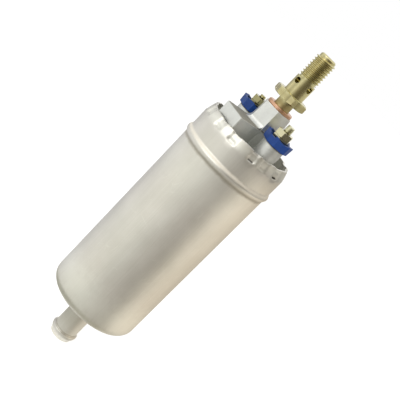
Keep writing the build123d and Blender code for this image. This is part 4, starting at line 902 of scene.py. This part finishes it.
def buildStud(nodeName, size):
    shape, mesh = copyOfNode(nodeName, size["piece"])
    middle = middleOf(nodeName)
    cx, cy = middle.x / mm, middle.y / mm
    cutShank(shape, cx, cy, size)
    piece = closeCopy(shape, mesh, size["piece"], copies["smoothAngle"])
    ridge = makeRidge(nodeName, cx, cy, size)
    joinRidge(mesh, ridge)
    smoothUnder(mesh, thread["smoothAngle"])
    roundNormals(mesh, cx * mm, cy * mm)
    markMesh(piece, "pale", [size["pale"]] * len(mesh.vertices))
    finishPiece(piece, nodeName)
    print(size["piece"] + ":", len(ridge.polygons), "thread faces")


for nodeName, size in studs.items():
    buildStud(nodeName, size)

# Coil springs of the joints: each a copy of its node, with its finish, its body and a mesh of its own
springNames = {
    "check_valve_spring": "checkValveSpring", "relief_spring": "reliefSpring",
    "brush_spring_positive": "brushSpringPositive", "brush_spring_negative": "brushSpringNegative",
}


def shortenSpring(nodeName):
    piece = addObject(springNames[nodeName], nodes[nodeName].data.copy())
    finishPiece(piece, nodeName)
    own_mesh(piece)


for joint in record["behaviour"]["joints"]:
    for entry in joint.get("deforming_nodes", ()):
        shortenSpring(entry["node"])


# Studio: pale floor, soft lamps, white surroundings, and bent cards that only reflections see, which glow
# with painted reflections: bands of painted light and painted shade round the pump (metres)
studio = {
    "fill": 0.50, "floorColour": (0.86, 0.86, 0.855), "floorLift": 0.6, "floorReach": 6.0,
    "floorGrain": 90.0, "floorRough": (0.85, 0.95), "lampAimZ": 0.11,
    "key": {"place": (-0.75, -0.95, 0.95), "size": 0.9, "power": 9.0, "colour": (1.0, 0.995, 0.98)},
    "right": {"place": (1.05, -0.35, 0.35), "size": 0.8, "power": 4.0, "colour": (1.0, 0.93, 0.84)},
    "paintedReflectionRadius": 0.085, "cardSteps": 60, "cardReach": 150.0,  # degrees to each side of the camera
    # painted reflections: three upright cards round the pump, by the can, the cap and the stud, each tone
    # painted light or painted shade for the metals to mirror at that turn
    "lowPaintedReflection": {
        "from": 0.0006, "to": 0.148,
        "tones": (
            (-150, (0.60, 0.60, 0.62)), (-120, (0.70, 0.70, 0.73)), (-95, (1.0, 1.0, 1.0)),
            (-70, (1.0, 1.0, 0.96)), (-45, (0.99, 0.99, 0.93)), (-24, (0.88, 0.88, 0.83)),
            (-8, (0.73, 0.73, 0.69)), (8, (0.64, 0.62, 0.58)), (24, (0.51, 0.49, 0.46)),
            (38, (0.41, 0.39, 0.36)), (50, (0.48, 0.46, 0.40)), (62, (0.80, 0.755, 0.66)),
            (80, (0.95, 0.87, 0.745)), (100, (0.93, 0.835, 0.70)), (125, (0.72, 0.65, 0.54)),
            (150, (0.62, 0.56, 0.48)),
        ),
    },
    "capPaintedReflection": {
        "from": 0.148, "to": 0.186,
        "tones": (
            (-150, (0.34, 0.34, 0.35)), (-118, (0.60, 0.60, 0.61)), (-95, (1.0, 1.0, 0.98)),
            (-50, (0.95, 0.95, 0.93)), (-30, (1.0, 1.0, 0.98)), (-12, (0.80, 0.79, 0.76)),
            (3, (0.50, 0.49, 0.46)), (18, (0.22, 0.21, 0.185)), (45, (0.07, 0.065, 0.055)),
            (75, (0.07, 0.075, 0.08)), (102, (0.16, 0.16, 0.16)), (125, (0.58, 0.56, 0.51)),
            (150, (0.52, 0.51, 0.47)),
        ),
    },
    "studPaintedReflection": {
        "from": 0.186, "to": 0.27,
        "tones": (
            (-150, (0.42, 0.42, 0.44)), (-118, (0.62, 0.62, 0.62)), (-90, (1.0, 1.0, 0.98)),
            (-58, (0.60, 0.60, 0.57)), (-32, (0.97, 0.97, 0.94)), (-14, (0.62, 0.60, 0.55)),
            (2, (0.28, 0.26, 0.21)), (16, (0.20, 0.18, 0.135)), (45, (0.13, 0.115, 0.085)),
            (64, (0.16, 0.145, 0.11)), (84, (0.56, 0.55, 0.49)), (104, (0.72, 0.70, 0.64)),
            (150, (0.85, 0.82, 0.76)),
        ),
    },
    # painted reflections: three flat rings on the floor under the pump, for the can's corner, the nipple and
    # the barb to mirror
    "underPaintedReflection": {
        "inner": 0.029, "outer": 0.092, "height": 0.0004,
        "tones": (
            (-150, (0.52, 0.52, 0.47)), (-60, (0.46, 0.46, 0.40)), (0, (0.50, 0.49, 0.42)),
            (45, (0.44, 0.42, 0.35)), (80, (0.80, 0.75, 0.65)), (150, (0.84, 0.79, 0.69)),
        ),
    },
    "nearPaintedReflection": {
        "inner": 0.0175, "outer": 0.029, "height": 0.0004,
        "tones": (
            (-150, (0.78, 0.78, 0.74)), (-60, (0.76, 0.76, 0.70)), (10, (0.72, 0.71, 0.64)),
            (48, (0.52, 0.49, 0.42)), (85, (0.88, 0.84, 0.73)), (150, (0.92, 0.88, 0.78)),
        ),
    },
    "barbPaintedReflection": {
        "inner": 0.0093, "outer": 0.0175, "height": 0.0004,
        "tones": (
            (-150, (0.66, 0.66, 0.65)), (-80, (0.85, 0.85, 0.84)), (-35, (1.0, 1.0, 0.99)),
            (0, (0.82, 0.81, 0.78)), (50, (0.60, 0.57, 0.50)), (90, (0.80, 0.76, 0.68)),
            (150, (0.84, 0.80, 0.70)),
        ),
    },
}


def seenByCamera(tree):
    # One where the camera looks, also by way of a mirror or glass, and nought for plain light
    path = addNode(tree, "ShaderNodeLightPath").outputs
    mirrored = addMath(tree, "MAXIMUM", path["Is Camera Ray"], path["Is Glossy Ray"])
    return addMath(tree, "MAXIMUM", mirrored, path["Is Transmission Ray"])


def makeWorld():
    world = bpy.data.worlds.new("studioWorld")
    world.use_nodes = True
    tree = world.node_tree
    tree.nodes.clear()
    level = blendValue(tree, seenByCamera(tree), studio["fill"], 1.0)
    light = addNode(tree, "ShaderNodeBackground", {"Color": (1.0, 1.0, 1.0, 1.0), "Strength": level})
    addNode(tree, "ShaderNodeOutputWorld", {"Surface": light.outputs[0]})
    scene.world = world


def makeFloor():
    reach = studio["floorReach"]
    corners = [(-reach, -reach, 0), (reach, -reach, 0), (reach, reach, 0), (-reach, reach, 0)]
    mesh = bpy.data.meshes.new("floor")
    mesh.from_pydata(corners, [], [(0, 1, 2, 3)])
    material, tree, place = newMaterial("floorPaper")
    grain = addGrain(tree, place, studio["floorGrain"], 1.0, 1.0)
    sockets = {
        "Base Color": (*studio["floorColour"], 1.0), "Specular IOR Level": 0.0,
        "Roughness": blendValue(tree, grain["Tone"], *studio["floorRough"]),
    }
    paper = addNode(tree, "ShaderNodeBsdfPrincipled", sockets)
    strength = scaleValue(tree, seenByCamera(tree), studio["floorLift"])
    lift = addNode(tree, "ShaderNodeEmission", {"Strength": strength})
    showShader(tree, addNode(tree, "ShaderNodeAddShader", {0: paper.outputs[0], 1: lift.outputs[0]}))
    mesh.materials.append(material)
    floor = addObject("floor", mesh)


def paintedReflectionMaterial(name, tones):
    # A glow that changes with the direction round the pump: painted light and painted shade, for reflections
    # alone
    material, tree, place = newMaterial(name)
    reach = radians(studio["cardReach"])
    parts = addNode(tree, "ShaderNodeSeparateXYZ", {0: place}).outputs
    turn = addMath(tree, "ARCTAN2", parts["X"], scaleValue(tree, parts["Y"], -1.0))
    ramp = addNode(tree, "ShaderNodeValToRGB", {"Fac": mapRange(tree, turn, (-reach, reach))})
    while len(ramp.color_ramp.elements) < len(tones):
        ramp.color_ramp.elements.new(1.0)
    for element, (angle, tone) in zip(ramp.color_ramp.elements, tones):
        element.position = 0.5 + 0.5 * angle / studio["cardReach"]
        element.color = (*tone, 1.0)
    showShader(tree, addNode(tree, "ShaderNodeEmission", {"Color": ramp.outputs[0], "Strength": 1.0}))
    return material


def makePaintedReflection(name, tones, nearEdge, farEdge):
    # A strip bent round the pump between two edges, each given by its radius and height, glowing with painted
    # reflections and seen in reflections alone
    steps = studio["cardSteps"]
    points = []
    for k in range(steps + 1):
        turn = radians(studio["cardReach"]) * (2 * k / steps - 1)
        for radius, height in (nearEdge, farEdge):
            points.append((radius * sin(turn), -radius * cos(turn), height))
    mesh = bpy.data.meshes.new(name)
    mesh.from_pydata(points, [], [(2 * k, 2 * k + 2, 2 * k + 3, 2 * k + 1) for k in range(steps)])
    mesh.materials.append(paintedReflectionMaterial(name + "Tones", tones))
    card = addObject(name, mesh)
    for sight in ("visible_camera", "visible_diffuse", "visible_shadow", "visible_transmission"):
        setattr(card, sight, False)


def makePaintedReflections():
    # painted reflections on upright cards round the pump, then on flat rings on the floor
    radius = studio["paintedReflectionRadius"]
    for name in ("lowPaintedReflection", "capPaintedReflection", "studPaintedReflection"):
        look = studio[name]
        makePaintedReflection(name, look["tones"], (radius, look["from"]), (radius, look["to"]))
    for name in ("underPaintedReflection", "nearPaintedReflection", "barbPaintedReflection"):
        look = studio[name]
        makePaintedReflection(name, look["tones"], (look["inner"], look["height"]), (look["outer"], look["height"]))


def makeLamp(name, look):
    data = bpy.data.lights.new(name, "AREA")
    data.shape = "SQUARE"
    data.size = look["size"]
    data.energy = look["power"]
    data.color = look["colour"]
    lamp = addObject(name, data)
    lamp.location = look["place"]
    aim = Vector((0, 0, studio["lampAimZ"])) - Vector(look["place"])
    lamp.rotation_euler = aim.to_track_quat("-Z", "Y").to_euler()


makeWorld()
makeFloor()
makePaintedReflections()
makeLamp("keyLamp", studio["key"])
makeLamp("rightLamp", studio["right"])
print("studio ready")

# Camera: 15 degrees above the pump's side, rolled so that the pump leans across the picture
view = {
    "tilt": 15.0, "roll": 44.5, "distance": 0.462, "sideways": 0.0038, "aimZ": 0.121, "lens": 73.35,
    "sensor": 36.0,
}


def makeCamera():
    tilt, roll = radians(view["tilt"]), radians(view["roll"])
    right = Vector((1, 0, 0))
    up = Vector((0, sin(tilt), cos(tilt)))
    back = Vector((0, -cos(tilt), sin(tilt)))
    pictureRight = cos(roll) * right + sin(roll) * up
    pictureUp = -sin(roll) * right + cos(roll) * up
    data = bpy.data.cameras.new("pumpCamera")
    data.lens = view["lens"]
    data.sensor_width = view["sensor"]
    camera = addObject("pumpCamera", data)
    turn = Matrix((pictureRight, pictureUp, back)).transposed()
    place = Vector((0, 0, view["aimZ"])) + back * view["distance"] + right * view["sideways"]
    camera.matrix_world = Matrix.Translation(place) @ turn.to_4x4()
    scene.camera = camera


makeCamera()
